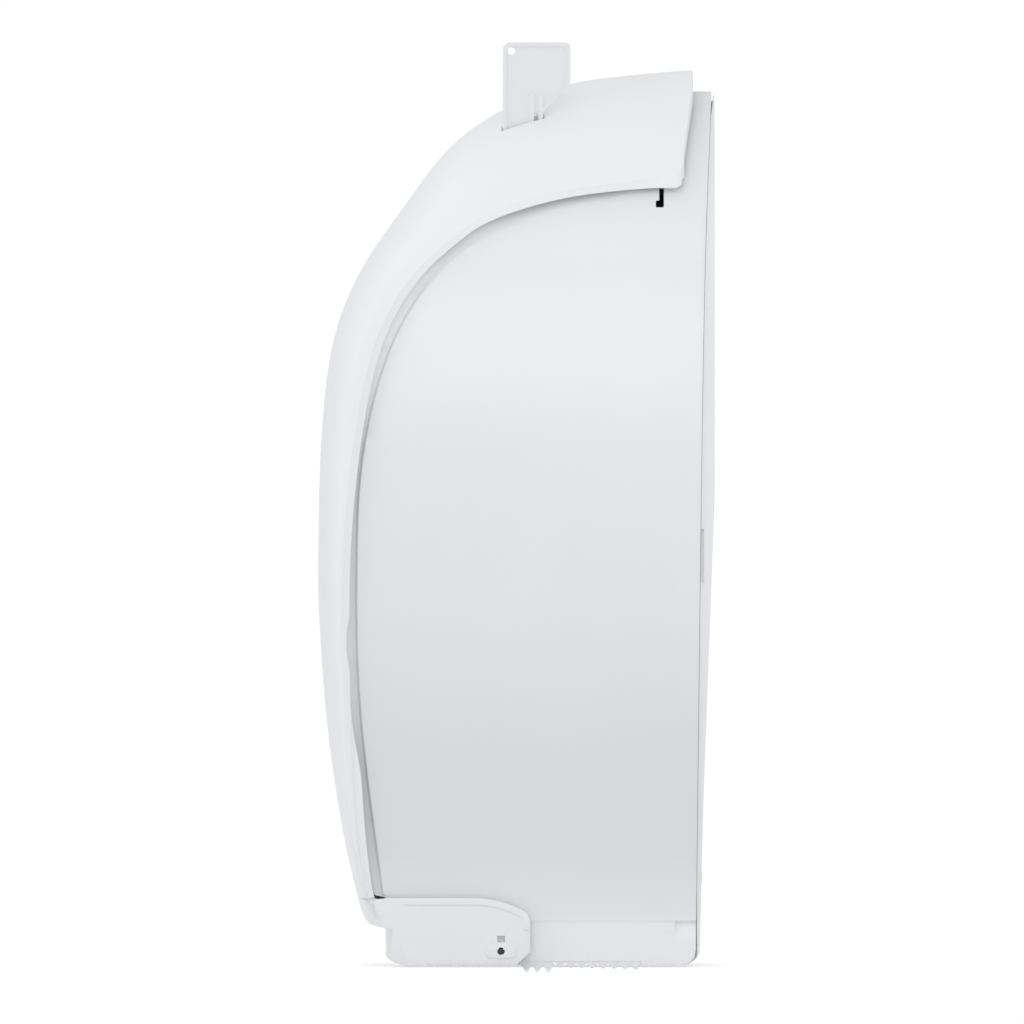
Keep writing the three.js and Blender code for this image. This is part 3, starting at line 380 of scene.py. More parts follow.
def box_slab(x, depth, height, **kind):
    """A box between pairs of places across, in depth and in height."""
    outline = [(depth[0], height[0]), (depth[1], height[0]), (depth[1], height[1]), (depth[0], height[1])]
    return side_slab(outline, *x, **kind)


def rounded(corners):
    """A polygon whose corners (u, v, radius) are rounded where a radius is given."""
    steps = 8
    points = []
    for i, corner in enumerate(corners):
        here = Vector(corner[:2])
        if len(corner) < 3:
            points.append(tuple(here))
            continue
        before = Vector(corners[i - 1][:2]) - here
        after = Vector(corners[(i + 1) % len(corners)][:2]) - here
        half = before.angle(after) / 2
        reach = min(corner[2] / math.tan(half), before.length / 2, after.length / 2)
        start, end = here + before.normalized() * reach, here + after.normalized() * reach
        for k in range(steps + 1):
            t = k / steps
            p = start * (1 - t) ** 2 + here * 2 * t * (1 - t) + end * t**2
            points.append(tuple(p))
    return points


def circle(u, v, radius, sides=48):
    angles = [2 * math.pi * i / sides for i in range(sides)]
    return [(u + radius * math.cos(angle), v + radius * math.sin(angle)) for angle in angles]


def grid_object(name, rows):
    """An open sheet through rows of points of equal length."""
    count = len(rows[0])
    verts = [p for row in rows for p in row]
    faces = []
    for r in range(len(rows) - 1):
        for i in range(count - 1):
            a = r * count + i
            faces.append((a, a + 1, a + count + 1, a + count))
    return new_object(name, verts, faces)


# Front cover
def corner_power(t):
    """How square the cross-section is: 2 is a round arch, more is squarer."""
    return 2.0 + 1.2 * smoothstep(t, 0.12, 0.5)


def bow(drop, power):
    """Half width of a cross-section at a share of the way down from the crest to the flat side."""
    if drop >= 1:
        return COVER_HALF_WIDTH
    cosine = (1 - drop) ** (power / 2)
    return COVER_HALF_WIDTH * math.sqrt(max(0.0, 1 - cosine * cosine)) ** (2 / power)


LIP_LINE = Spline(LIP_SHARES).line(240, LIP_PASSES)


def lip_height(depth):
    """Height of the lip's edge over the roof, with its rounded rear corner."""
    for a, b in zip(LIP_LINE, LIP_LINE[1:]):
        if b[0] <= depth <= a[0] and a[1] > 150:
            height = a[1] + (b[1] - a[1]) * (a[0] - depth) / max(1e-9, a[0] - b[0])
            break
    else:
        height = LIP_LINE[-1][1]
    into = depth - BAND_REAR
    if into < BAND_CORNER:
        into = max(0.0, into)
        height += BAND_CORNER - math.sqrt(max(0.0, BAND_CORNER**2 - (BAND_CORNER - into) ** 2))
    return height


def lip_notched(point):
    """Moves an edge point forward where the shallow notch lies."""
    depth, height = point
    off = abs(height - NOTCH_HEIGHT)
    return (depth + NOTCH_DEPTH * (1 - smoothstep(off, 5.6, 6.6)), height)


ROOF_CORNER = [(d / 2, lip_height(d / 2)) for d in range(40, 20, -1)]
EDGE_LINE = [lip_notched(p) for p in LIP_LINE] + ROOF_CORNER


def crossing(start, way):
    """How far along a line from start the lip's edge is crossed."""
    best = None
    for a, b in zip(EDGE_LINE, EDGE_LINE[1:]):
        ex, ey = b[0] - a[0], b[1] - a[1]
        det = way[0] * ey - way[1] * ex
        if abs(det) < 1e-12:
            continue
        px, py = a[0] - start[0], a[1] - start[1]
        along = (px * ey - py * ex) / det
        share = (px * way[1] - py * way[0]) / det
        if -1e-9 <= share <= 1 + 1e-9 and along > 0 and (best is None or along < best):
            best = along
    return best


# Points of a row: along the round part, then the flat side and the lip's chamfer as shares
ACROSS = 34
FLAT = (0.0, 0.18, 0.38, 0.6, 0.8, 0.93, 1.0)
CHAMFER = (0.05, 0.12, 0.5, 0.88, 0.95, 1.0)
CURVED_SHARE = 0.86
RIM_DEPTH = 4.3
RIM_SHARE = 0.43
CREST_REAR = 7.44
CREST_SLOPE = 0.0206
REAR_ZONE = 24.0


def rear_edge(height):
    """Depth of the cover's slanting rear edge."""
    share = min(1.0, max(0.0, (height - BAND_REAR_TOP) / (HOUSING_HEIGHT - BAND_REAR_TOP)))
    return BAND_REAR - (BAND_REAR - 7.45) * share


def rear_shift(height, crest_depth):
    """How far a point of a row near the rear moves forward to meet the slanting edge."""
    line = CREST_REAR + (COVER_HEIGHT - height) * CREST_SLOPE
    return (rear_edge(height) - line) * (1 - smoothstep(crest_depth, CREST_REAR, REAR_ZONE))


def lip_end(crest, way):
    """Where a row near the rear meets the lip's edge, with the shift of the rear."""
    height = 270.0
    for _ in range(12):
        fall = (crest[1] - height) / -way[1]
        depth = crest[0] + way[0] * fall + rear_shift(height, crest[0])
        height += (lip_height(depth) - height) * 0.7
    return (crest[1] - height) / -way[1]


def half_row(crest, corner, power, end, chamfer, on_line, share=1.0):
    """Points from the crest down one side to the cover's edge, as (x, depth, height).

    With on_line the row runs straight on to its end on the lip; without, it turns at the corner.
    Share is how much of the way to the corner the round part takes.
    """
    reach = math.dist(crest, corner)
    way = Vector((corner[0] - crest[0], corner[1] - crest[1])) / reach
    to_edge = math.dist(crest, end)
    band = min(LIP_CHAMFER * (1.7 - 0.7 * smoothstep(crest[0], 12.0, 32.0)), to_edge * 0.6)
    curved = reach * share
    if on_line and (to_edge - band) * CURVED_SHARE < reach:
        curved = (to_edge - band) * CURVED_SHARE
    last = curved / reach
    angle_end = math.acos((1 - last) ** (power / 2)) if last < 1 else math.pi / 2
    start = Vector(crest)
    angles = [angle_end * i / ACROSS for i in range(ACROSS)]
    falls = [reach * (1 - math.cos(angle) ** (2 / power)) for angle in angles]
    places = [(start + way * f, bow(f / reach, power)) for f in falls]
    split = start + way * curved
    if on_line:
        rest = (Vector(end) - split).length
        turn, after = rest, split
    else:
        turn = reach - curved
        rest = turn + math.dist(corner, end)
        after = Vector(corner)
    onward = (Vector(end) - after).normalized()
    inner = 1 - band / rest
    for k, step in enumerate(FLAT + CHAMFER):
        on_chamfer = k >= len(FLAT)
        gone = rest * (inner + step * (1 - inner) if on_chamfer else step * inner)
        if gone <= turn:
            p = split + (onward if on_line else way) * gone
            fall = (p - start).length / reach
        else:
            p = after + onward * (gone - turn)
            fall = 1.0
        tilt = smoothstep(step, 0.0, 0.12) * 0.05 + max(0.0, step - 0.05) if on_chamfer else 0.0
        places.append((p, bow(fall, power) - chamfer * LIP_CHAMFER_DROP * tilt))
    shift = rear_shift if on_line and crest[0] < REAR_ZONE else lambda height, depth: 0.0
    return [(x, p[0] + shift(p[1], crest[0]), p[1]) for p, x in places]


def cover_half_rows():
    """All rows of one side, from the rear of the roof forward, down the front and round the toe."""
    rows = []
    places = [0.0, 0.006, 0.01, 0.015, 0.02, 0.028, 0.037, 0.048, 0.06]
    places += [0.06 + 0.94 * i / 150 for i in range(1, 151)]
    low = None
    for t in places:
        crest, corner = CREST.at(t), CORNER.at(t)
        reach = math.dist(crest, corner)
        way = ((corner[0] - crest[0]) / reach, (corner[1] - crest[1]) / reach)
        edge = lip_end(crest, way) if crest[0] < REAR_ZONE else crossing(crest, way)
        if edge is None:
            low = t
            break
        end = (crest[0] + way[0] * edge, crest[1] + way[1] * edge)
        chamfer = 1.7 - 0.7 * smoothstep(crest[0], 30.0, 75.0)
        rows.append(half_row(crest, corner, corner_power(t), end, chamfer, True))
    path = [(116.9, 21.95), (114.5, 21.4), (111.0, TOE_TOP), (105.0, TOE_TOP), (TOE_REAR, TOE_TOP)]
    path += [(TOE_REAR, TOE_TOP - 0.7 * i) for i in range(1, 4)]
    for i, end in enumerate(path):
        t = low + (1 - low) * i / (len(path) - 1)
        share = 0.3 + 0.7 * min(1.0, i / 5)
        rows.append(half_row(CREST.at(t), CORNER.at(t), corner_power(t), end, 0.0, False, share))
    toe = [(1.2, 12.7), (0.35, 12.35), (0.0, 11.5), (0.0, 9.5), (0.0, 7.5)]
    for i in range(9):
        angle = math.pi / 2 * i / 8
        toe.append((-TOE_FOOT_REACH * (1 - math.cos(angle)), TOE_FOOT_RISE * (1 - math.sin(angle))))
    for proud, height in toe:
        crest = (TOE_DEPTH + proud, height)
        corner = (TOE_DEPTH - TOE_CORNER + max(0.0, proud) * 0.5, height)
        rows.append(half_row(crest, corner, 3.2, (TOE_REAR, height), 0.0, False))
    return rows


def mirrored(row):
    """A full row from the left edge over the crest to the right edge."""
    left = [(-x, depth, height) for x, depth, height in row[:0:-1]]
    return left + list(row)


def rim_rows(row):
    """The rear edge turned in towards the roof, as rows before the first one."""
    made = []
    steps = ((RIM_DEPTH, 0.0), (RIM_DEPTH * 0.6, 0.0), (1.0, 0.0), (0.5, 0.07), (0.15, 0.25))
    for inward, forward in steps:
        line = []
        for i, (x, depth, height) in enumerate(row):
            a, b = row[max(i - 1, 0)], row[min(i + 1, len(row) - 1)]
            run = Vector((b[0] - a[0], b[2] - a[2])).normalized()
            line.append((x + run[1] * inward, depth + forward, height - run[0] * inward))
        made.append(line)
    return made


def cover_shell():
    rows = [mirrored(row) for row in cover_half_rows()]
    first = rows[0]
    rows[0] = [(x, depth + 0.5, height) for x, depth, height in first]
    rims = rim_rows(first)
    obj = grid_object("front_cover_shell", [[at(*p) for p in row] for row in rims + rows])
    thin = obj.vertex_groups.new(name="thickness")
    count = len(rows[0])
    thin.add(list(range(count * len(rims))), RIM_SHARE, "REPLACE")
    thin.add(list(range(count * len(rims), len(obj.data.vertices))), 1.0, "REPLACE")
    solid = obj.modifiers.new("wall", "SOLIDIFY")
    solid.thickness = COVER_WALL * MM
    solid.offset = -1
    solid.vertex_group = "thickness"
    bevel(obj, 0.35, 48)
    return settle(obj)


def ear_shoulder(inset):
    """The ear's rear edge and its rounded shoulder, up to the level top edge."""
    points = [
        (64.1, 15.5), (65.2, 18.0), (67.0, 19.15), (69.9, 20.45),
        (73.0, 21.6), (76.0, 22.4), (79.6, 22.95), (83.5, EAR_TOP),
    ]
    ways = [(-1, 0.1), (-0.8, 0.6), (-0.5, 0.87), (-0.38, 0.93), (-0.3, 0.95), (-0.2, 0.98), (-0.1, 1), (0, 1)]
    return [(d - inset * out, h - inset * up, 1.5) for (d, h), (out, up) in zip(points, ways)]


def ear_outline():
    return rounded([
        (112.0, 1.3),
        (107.0, 0.0),
        (68.8, 0.0, 1.0),
        (64.1, 4.5, 1.0),
        *ear_shoulder(0.0),
        (113.5, EAR_TOP),
        (118.0, 22.7),
        (118.0, 19.6),
        (112.0, 16.5),
    ])


def both_sides(make):
    return [make(-1), make(1)]


def side_between(outline, side, low, high, **kind):
    x0, x1 = sorted((side * low, side * high))
    return side_slab(outline, x0, x1, **kind)


def ear_bead_outline():
    """A band that follows the top edge of the ear and turns down its rear."""
    top = rounded([(64.1, 12.0)] + ear_shoulder(0.0) + [(108.0, EAR_TOP)])
    inner = ear_shoulder(BEAD_WIDTH)[::-1]
    under = rounded([(108.0, EAR_TOP - BEAD_WIDTH)] + inner + [(64.1 + BEAD_WIDTH, 12.0)])
    return top + under


def lip_flange(side):
    """A thin inner step along the lower lip, under which the housing's rim runs."""
    rows = []
    for row in cover_half_rows():
        x, depth, height = row[-1]
        if 23.0 < height < 88.0 and depth > 118.0:
            rear = depth - 2.8 * (1 - smoothstep(height, 62.0, 88.0)) - 0.2
            front = depth + 0.8
            section = [(x - 0.45, front), (x - 0.65, rear), (x - 1.55, rear), (x - 1.75, front)]
            rows.append([at(side * u, v, height) for u, v in section])
    verts = [p for row in rows for p in row]
    faces = [(0, 1, 2, 3), tuple(range(len(verts) - 1, len(verts) - 5, -1))]
    for r in range(len(rows) - 1):
        for i in range(4):
            a, b = 4 * r + i, 4 * r + (i + 1) % 4
            faces.append((a, b, b + 4, a + 4))
    return new_object("lip_flange", verts, faces)


def front_cover():
    cover = cover_shell()
    outer = COVER_HALF_WIDTH
    inner = outer - COVER_WALL
    ears = both_sides(lambda s: side_between(ear_outline(), s, inner, outer, name="ear", edge=0.35))
    nose = [(115.0, 18.0), (119.6, 19.6), (120.3, 22.9), (115.0, 22.9)]
    noses = both_sides(lambda s: side_between(nose, s, 68.0, 70.8, name="nose"))
    combine(cover, ears + noses, "UNION")
    bead = ear_bead_outline()
    beads = both_sides(lambda s: side_between(bead, s, inner + 1, outer + 0.6, name="bead", edge=0.3))
    pad = rounded([(68.8, 2.35, 2.3), (79.6, 2.35, 2.3), (79.6, 7.25, 2.3), (68.8, 7.25, 2.3)])
    pads = both_sides(lambda s: side_between(pad, s, inner + 1, outer + 0.5, name="pad", edge=0.25))
    combine(cover, beads + pads, "UNION")
    far = outer + 5
    cuts = [
        side_slab(circle(74.2, PIN_HEIGHT, PIN_HOLE), -far, far, name="pin_hole"),
        box_slab((36.3, 39.6), (59.2, 74.02), (278.0, 320.0), name="key_slot"),
    ]
    window = [(72.9, 7.85), (75.5, 7.85), (75.5, 10.15), (72.9, 10.15)]
    cuts += both_sides(lambda s: side_between(window, s, outer - 2.0, far, name="window"))
    combine(cover, cuts, "DIFFERENCE")
    catch = [(32.95, 284.0), (42.95, 284.0), (42.95, 292.4), (32.95, 298.2)]
    rib = [(116.45, 18.5), (121.2, 18.5), (123.6, 28.0), (116.45, 28.0)]
    inside = [out_slab(catch, 39.81, 42.81, name="catch"), side_slab(rib, -55.5, 55.5, name="rib")]
    combine(cover, inside + both_sides(lip_flange), "UNION")
    cover.name = "front_cover_shell"
    dress(cover, "cover_plastic")
    smooth(cover, 32)
    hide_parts("front_cover")
    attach(cover, "cover")
    return cover


# Rear housing: one closed strip of wall carried up one side, over the roof and down the other
HOUSING_WALL = 3.0
HINGE_DEPTH = 74.24
RUNNING_GAP = 0.7
BACK_STRIP = 13.4
FOOT_ROUND = 5.0
ARCH_CENTRE = HOUSING_HEIGHT - HOUSING_HALF_WIDTH
REAR_SHARES = ((0.0087, 1), (0.025, 0.82), (0.0355, 0.56), (0.048, 0.08))
RIM_OVERLAP = 4.0
ROOF_FRONT = 76.0
BAND_TOP = 15.6
KEY_X = 37.95
SCREW_HEIGHTS = (30.06, 224.97)
SCREW_X = 59.0
PANEL_LINE = Spline(PANEL_SHARES).line(160, 35)
PANEL_EDGE = PANEL_LINE + [(PANEL_LINE[-1][0], h) for h in (270.0, 280.0, 295.0, 320.0)]
REAR = Spline([(d, h * HOUSING_HEIGHT / COVER_HEIGHT) for d, h in REAR_SHARES]).line(60)


def along(line, height):
    """Depth of a line at a height, going on straight beyond its ends."""
    low_first = line if line[0][1] < line[-1][1] else line[::-1]
    for a, b in zip(low_first, low_first[1:]):
        if height <= b[1]:
            break
    return a[0] + (b[0] - a[0]) * (height - a[1]) / max(1e-9, b[1] - a[1])


def housing_rear(height):
    """The rear edge along the plate, with its foot corner rounded."""
    depth = along(REAR, height) - 0.2
    if height < FOOT_ROUND:
        depth += FOOT_ROUND - math.sqrt(FOOT_ROUND**2 - (FOOT_ROUND - height) ** 2)
    return depth


def housing_front(height):
    """The front rim, just under the cover's lip, with the foot drawn back."""
    if height < 18.0:
        return 103.54 + 3.0 * height / 18.0
    lip = along(LIP_LINE, height - RIM_OVERLAP / 2) + RIM_OVERLAP
    return max(ROOF_FRONT, min(lip, 106.5 + (height - 18.0) * 6.0))


def before_panel(depth, height):
    """Distance in front of the main panel's edge, below zero on the panel."""
    best = None
    for a, b in zip(PANEL_EDGE, PANEL_EDGE[1:]):
        run = (b[0] - a[0], b[1] - a[1])
        size = run[0] ** 2 + run[1] ** 2
        share = max(0.0, min(1.0, ((depth - a[0]) * run[0] + (height - a[1]) * run[1]) / size))
        away = math.dist((depth, height), (a[0] + run[0] * share, a[1] + run[1] * share))
        if best is None or away < best:
            best = away
    return best if depth > along(PANEL_EDGE, height) else -best


def recess_profile(before, height):
    """Depth of the recess round the panel: a steep edge, then a floor that rises to the front rim."""
    deep = 1.2 + 0.7 * (1 - smoothstep(height, 150.0, 215.0)) + 0.2 * (1 - smoothstep(height, 60.0, 100.0))
    floor = deep - (deep + 0.2) * smoothstep(before, 1.0, 7.5) * smoothstep(height, 60.0, 110.0)
    ramp = 0.9 + 4.6 * smoothstep(height, 225.0, 254.0)
    return floor * smoothstep(before, 0.0, ramp) * smoothstep(height, 23.4, 24.6)


def housing_rise(depth, height, before):
    """How far a point of the wall stands out from the plain arch."""
    rise = -recess_profile(before, height)
    if height < BAND_TOP:
        rise -= (0.45 - 0.2 * (BAND_TOP - height) / BAND_TOP) * smoothstep(BAND_TOP - height, 0.0, 1.0)
        rear = 1 - smoothstep(depth, BACK_STRIP, BACK_STRIP + 0.6)
        rise -= 1.3 * rear * smoothstep(height, 9.4, 14.6) * (1 - smoothstep(height, 14.6, BAND_TOP))
    return rise


def clear_front(bvh, x, height, way, limit):
    """The foremost depth at which the wall keeps running space to the cover."""
    depth = 60.0
    step = 0.4
    while depth < limit:
        for out in (housing_rise(depth, height, before_panel(depth, height)), -HOUSING_WALL):
            found = bvh.find_nearest(at(x + way[0] * out, depth, height + way[1] * out), 0.01)
            if found[0] is not None and found[3] < RUNNING_GAP * MM:
                return depth - step
        depth += step
    return limit


def housing_column(x, height, way, bvh):
    """The closed section of the wall at one place round the arch, as (x, depth, height)."""
    rear = housing_rear(height)
    front = clear_front(bvh, x, height, way, housing_front(height))
    edge = min(along(PANEL_EDGE, height), front - 4.0)
    wide = edge
    while before_panel(wide, height) < 0.9 and wide < front - 1.0:
        wide += 0.1
    depths = [rear + (BACK_STRIP - rear) * i / 5 for i in range(6)] + [14.0]
    depths += [14.0 + (edge - 14.0) * i / 14 for i in range(1, 15)]
    depths += [edge + (wide - edge) * i / 8 for i in range(1, 9)]
    depths += [wide + (front - wide) * i / 6 for i in range(1, 7)]
    loop = []
    for depth in depths:
        rise = housing_rise(depth, height, before_panel(depth, height))
        loop.append(at(x + way[0] * rise, depth, height + way[1] * rise))
    for i in range(6):
        depth = front + (rear - front) * i / 5
        loop.append(at(x - way[0] * HOUSING_WALL, depth, height - way[1] * HOUSING_WALL))
    return loop


def housing_strip(bvh):
    heights = [0.0, 0.5, 1.2, 2.2, 3.4, 5.0, 7.0, 9.4, 11.0, 12.8, 14.6, 15.0, 15.2, 15.4, 15.6, 16.4]
    heights += [18.0, 20.0, 22.0, 23.2, 23.6, 24.1, 24.6, 25.1, 25.6, 26.4]
    heights += [28.0 + 2.95 * i for i in range(70)]
    places = [(HOUSING_HALF_WIDTH, h, (1.0, 0.0)) for h in heights]
    arch_steps = 120
    for i in range(arch_steps + 1):
        angle = math.pi * i / arch_steps
        way = (math.cos(angle), math.sin(angle))
        places.append((way[0] * HOUSING_HALF_WIDTH, ARCH_CENTRE + way[1] * HOUSING_HALF_WIDTH, way))
    places += [(-x, h, (-1.0, 0.0)) for x, h, _ in places[len(heights) - 1::-1]]
    loops = [housing_column(x, h, way, bvh) for x, h, way in places]
    count = len(loops[0])
    last = (len(loops) - 1) * count
    faces = [tuple(range(count)), tuple(range(last + count - 1, last - 1, -1))]
    for r in range(len(loops) - 1):
        for i in range(count):
            j = (i + 1) % count
            faces.append((r * count + i, r * count + j, (r + 1) * count + j, (r + 1) * count + i))
    obj = new_object("rear_housing_shell", [p for loop in loops for p in loop], faces)
    bevel(obj, 0.4, 60)
    return settle(obj)


def comb(count, front, root, drop, fall, pitch=3.77):
    """Side outline of a row of tear teeth with rounded valleys and blunt tips."""
    points = [(front, root + drop + 1.0)]
    for i in range(count):
        for k in range(12):
            share = k / 12
            down = min(1.0, max(0.0, 0.5 - 0.56 * math.cos(2 * math.pi * share)))
            place = i + share
            points.append((front - place * pitch, root - place * fall - down * (root + drop)))
    rear = front - count * pitch
    return points + [(rear, root - count * fall), (rear, root + drop + 1.0)]


def lock_guide():
    """Cheeks, floor and end walls under the roof that guide the lock bolt."""
    inside, outside = 6.5, 8.3
    rear, front, floor = 41.21, 68.21, 262.2
    low = [(rear, floor), (front, floor)]
    across = (KEY_X - outside, KEY_X + outside)
    return [
        side_slab(low + [(front, 288.0), (rear, 293.4)], KEY_X - outside, KEY_X - inside, name="cheek"),
        side_slab(low + [(front, 279.6), (rear, 283.4)], KEY_X + inside, KEY_X + outside, name="cheek"),
        box_slab(across, (rear, front), (floor, 264.0), name="guide_floor"),
        box_slab(across, (rear, rear + 1.8), (floor + 0.5, 282.4), name="guide_wall"),
        box_slab(across, (front - 1.8, front), (floor + 0.5, 277.0), name="guide_wall"),
    ]


def rear_housing(cover):
    bvh = BVHTree.FromObject(cover, bpy.context.evaluated_depsgraph_get())
    housing = housing_strip(bvh)
    inner = HOUSING_HALF_WIDTH - HOUSING_WALL
    adds = [
        box_slab((-inner - 1, inner + 1), (9.8, 24.0), (0.02, 3.0), name="floor", edge=0.3),
        box_slab((-inner - 1, inner + 1), (85.04, 102.5), (0.02, 3.0), name="floor", edge=0.3),
    ]
    boss = circle(HINGE_DEPTH, PIN_HEIGHT, 3.4)
    adds += both_sides(lambda s: side_between(boss, s, inner - 4, inner + 1, name="boss", edge=0.3))
    for height in SCREW_HEIGHTS:
        tab = [(9.8, height - 6), (13.3, height - 6), (13.3, height + 6), (9.8, height + 6)]
        adds += both_sides(lambda s: side_between(tab, s, 54.5, 67.5, name="tab"))
    combine(housing, adds + lock_guide(), "UNION")
    relief = box_slab((-80.0, 80.0), (25.58, 67.24), (-5.0, 1.3), name="relief")
    combine(housing, [relief], "DIFFERENCE")
    combs = []
    for outline in (comb(3, 67.24, -0.35, 2.6, 0.0), comb(8, 55.74, 0.8, 0.8, 0.11)):
        combs += both_sides(lambda s: side_between(outline, s, 66.8, 68.38, name="comb", edge=0.12))
    combine(housing, combs, "UNION")
    well = (KEY_X - 6.5, KEY_X + 6.5)
    cuts = [
        side_slab(circle(HINGE_DEPTH, PIN_HEIGHT, PIN_HOLE), -80.0, 80.0, name="pin_hole"),
        box_slab(well, (36.61, 140.0), (282.4, 320.0), name="notch"),
        box_slab(well, (43.01, 66.41), (264.0, 320.0), name="bolt_well"),
    ]
    slot = rounded([
        (17.7, 262.8, 0.6), (20.5, 262.8, 0.6), (20.5, 265.2, 0.6),
        (19.3, 265.2, 0.3), (19.3, 270.0, 0.7), (17.7, 270.0, 0.7),
    ])
    cuts.append(side_slab(slot, 50.0, 80.0, name="vent"))
    for height in SCREW_HEIGHTS:
        holes = [circle(side * SCREW_X, height, 2.1, 24) for side in (-1, 1)]
        cuts += [out_slab(hole, 0.0, 18.0, name="screw_hole") for hole in holes]
    combine(housing, cuts, "DIFFERENCE")
    dress(housing, "housing_plastic")
    smooth(housing, 32)
    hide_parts("rear_housing")
    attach(housing, "housing")
    return housing


def wall_plate():
    """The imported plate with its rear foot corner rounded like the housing's."""
    plate = nodes["wall_plate"].copy()
    plate.data = nodes["wall_plate"].data.copy()
    bpy.context.scene.collection.objects.link(plate)
    mesh = bmesh.new()
    mesh.from_mesh(plate.data)
    bmesh.ops.remove_doubles(mesh, verts=mesh.verts, dist=0.01 * MM)
    mesh.to_mesh(plate.data)
    mesh.free()
    turns = [math.pi / 2 * i / 12 for i in range(13)]
    arc = [(12.4 - 7.2 * math.sin(turn), 5.6 - 5.8 * math.cos(turn)) for turn in turns]
    outside = [(-2.0, 5.6), (-2.0, -2.0), (12.4, -2.0)]
    combine(plate, [side_slab(arc + outside, -80.0, 80.0, name="corner")], "DIFFERENCE")
    plate.name = "wall_plate_shell"
    dress(plate, "plate_plastic")
    smooth(plate, 32)
    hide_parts("wall_plate")
    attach(plate, "housing")


for part in frame["record"]["subparts"]:
    dress(nodes[part["node"]], part["material_slot"])
for node in nodes.values():
    smooth(node)
bevel(nodes["key"], 0.2, 40)
bevel(nodes["lock_bolt"], 0.3, 40)
rear_housing(front_cover())
wall_plate()


# Floor, background, lamps and camera
def math_node(tree, operation, one, two=0.0):
    """One operation on sockets or numbers."""
    node = tree.nodes.new("ShaderNodeMath")
    node.operation = operation
    for socket, value in zip(node.inputs, (one, two)):
        if isinstance(value, (int, float)):
            socket.default_value = value
        else:
            tree.links.new(value, socket)
    return node.outputs["Value"]


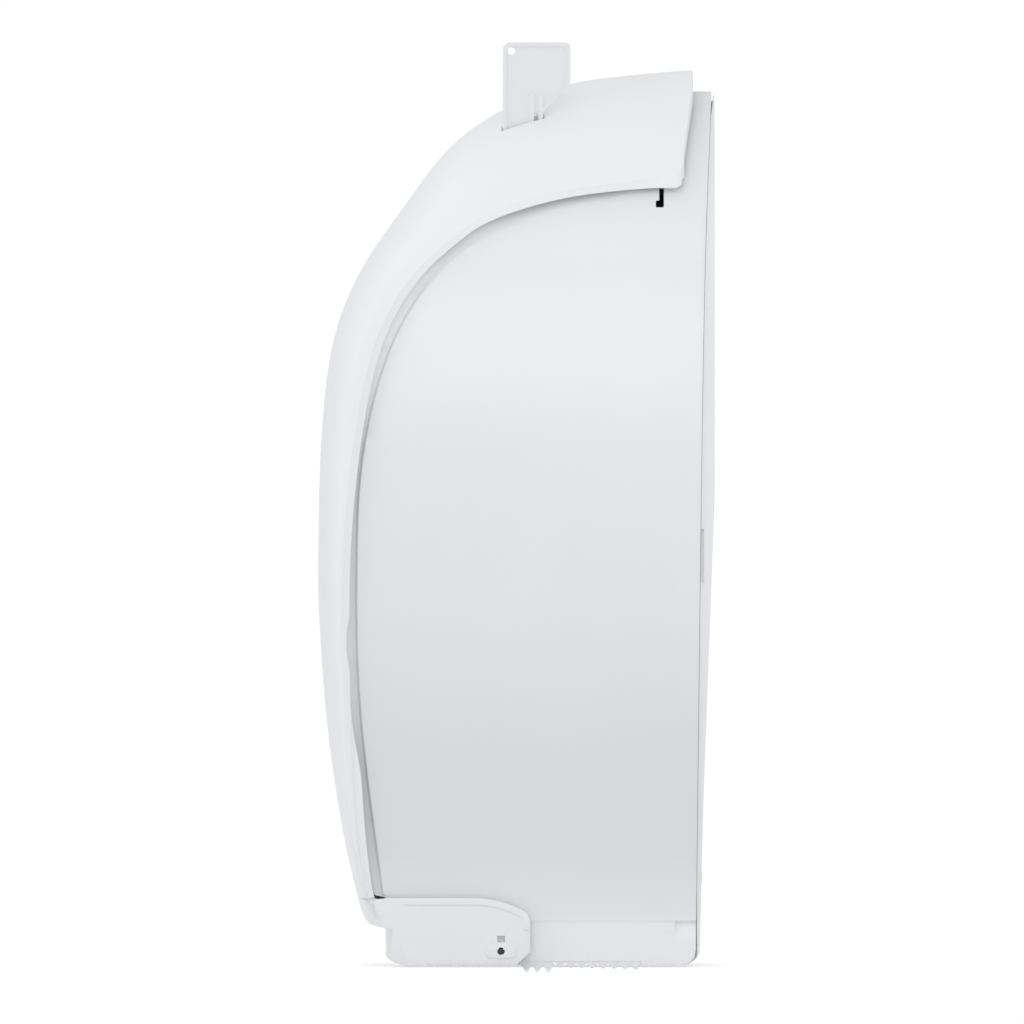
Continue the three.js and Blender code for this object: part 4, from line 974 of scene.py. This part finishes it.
def stage_floor():
    """A pale floor, clear to the camera except where the contact shadow falls, and clear from below,
    so that the opened cover, which swings lower than the foot, stays in sight and lit."""
    bm = bmesh.new()
    bmesh.ops.create_circle(bm, cap_ends=True, segments=64, radius=3.0)
    mesh = bpy.data.meshes.new("stage_floor")
    bm.to_mesh(mesh)
    bm.free()
    floor = bpy.data.objects.new("stage_floor", mesh)
    bpy.context.scene.collection.objects.link(floor)
    floor.location = (0, -0.06, FLOOR_Z)
    mat = bpy.data.materials.new("stage_floor")
    mat.use_nodes = True
    tree = mat.node_tree
    out = next(n for n in tree.nodes if n.type == "OUTPUT_MATERIAL")
    tree.nodes.remove(next(n for n in tree.nodes if n.type == "BSDF_PRINCIPLED"))
    near = tree.nodes.new("ShaderNodeBsdfDiffuse")
    near.inputs["Color"].default_value = (0.86, 0.86, 0.865, 1)
    white = tree.nodes.new("ShaderNodeEmission")
    white.inputs["Strength"].default_value = 1.0
    coords = tree.nodes.new("ShaderNodeTexCoord")
    parts = tree.nodes.new("ShaderNodeSeparateXYZ")
    tree.links.new(coords.outputs["Object"], parts.inputs["Vector"])
    path = tree.nodes.new("ShaderNodeLightPath")
    clear = tree.nodes.new("ShaderNodeBsdfTransparent")
    side = tree.nodes.new("ShaderNodeNewGeometry")

    def maths(operation, one, two=0.0):
        return math_node(tree, operation, one, two)

    # Distance from the middle of the shadow's patch, an oval that reaches 1 at its rim
    aside = maths("DIVIDE", maths("ADD", parts.outputs["X"], 0.09), 0.115)
    wide = maths("SUBTRACT", maths("ABSOLUTE", parts.outputs["Y"]), 0.046)
    ahead = maths("DIVIDE", maths("MAXIMUM", wide, 0.0), 0.022)
    squares = maths("ADD", maths("POWER", maths("ABSOLUTE", aside), 2.0), maths("POWER", ahead, 2.0))
    away = spread(tree, maths("SQRT", squares), 0.55, 1.0, 0.40, 1.0)

    def blend(share, first, second):
        mix = tree.nodes.new("ShaderNodeMixShader")
        tree.links.new(share, mix.inputs["Fac"])
        tree.links.new(first, mix.inputs[1])
        tree.links.new(second, mix.inputs[2])
        return mix.outputs["Shader"]

    mirrored_away = maths("MULTIPLY", away, path.outputs["Is Glossy Ray"])
    seen_away = maths("MULTIPLY", away, path.outputs["Is Camera Ray"])
    shade = blend(mirrored_away, near.outputs["BSDF"], white.outputs["Emission"])
    open_share = maths("MAXIMUM", seen_away, side.outputs["Backfacing"])
    tree.links.new(blend(open_share, shade, clear.outputs["BSDF"]), out.inputs["Surface"])
    mesh.materials.append(mat)


def world_light(strength):
    """An even pale surround, pure white where the camera sees it."""
    world = bpy.data.worlds.new("studio")
    bpy.context.scene.world = world
    world.use_nodes = True
    tree = world.node_tree
    background = next(n for n in tree.nodes if n.type == "BACKGROUND")
    background.inputs["Color"].default_value = (0.985, 0.99, 1.0, 1)
    path = tree.nodes.new("ShaderNodeLightPath")
    pick = tree.nodes.new("ShaderNodeMapRange")
    pick.inputs["To Min"].default_value = strength
    pick.inputs["To Max"].default_value = 1.03
    tree.links.new(path.outputs["Is Camera Ray"], pick.inputs["Value"])
    tree.links.new(pick.outputs["Result"], background.inputs["Strength"])


def lamp(name, place, target, size, power):
    data = bpy.data.lights.new(name, "AREA")
    data.shape = "RECTANGLE"
    data.size, data.size_y = size
    data.energy = power
    obj = bpy.data.objects.new(name, data)
    bpy.context.scene.collection.objects.link(obj)
    obj.location = place
    way = Vector(target) - Vector(place)
    obj.rotation_euler = way.to_track_quat("-Z", "Y").to_euler()


def photo_camera():
    """Square side view of the right side from far away, so that it has hardly any perspective."""
    distance = 16.4
    shown = 0.3567
    data = bpy.data.cameras.new("photo_camera")
    data.sensor_width = 36.0
    data.lens = 36.0 * distance / shown
    data.clip_start = 1.0
    data.clip_end = 60.0
    camera = bpy.data.objects.new("photo_camera", data)
    bpy.context.scene.collection.objects.link(camera)
    camera.location = (distance, -0.0704, -0.0749)
    camera.rotation_euler = (math.radians(90), 0, math.radians(90))
    bpy.context.scene.camera = camera


bpy.context.scene.view_settings.view_transform = "Standard"
stage_floor()
world_light(0.80)
lamp("side_softbox", (0.50, -0.06, 0.15), (0.0, -0.06, 0.05), (0.3, 0.3), 0.32)
lamp("front_softbox", (0.35, -1.1, 0.25), (0.0, -0.06, -0.05), (0.8, 0.8), 1.05)
lamp("brow_softbox", (-0.2, -0.75, 0.75), (0.0, -0.06, 0.0), (0.6, 0.6), 0.4)
photo_camera()
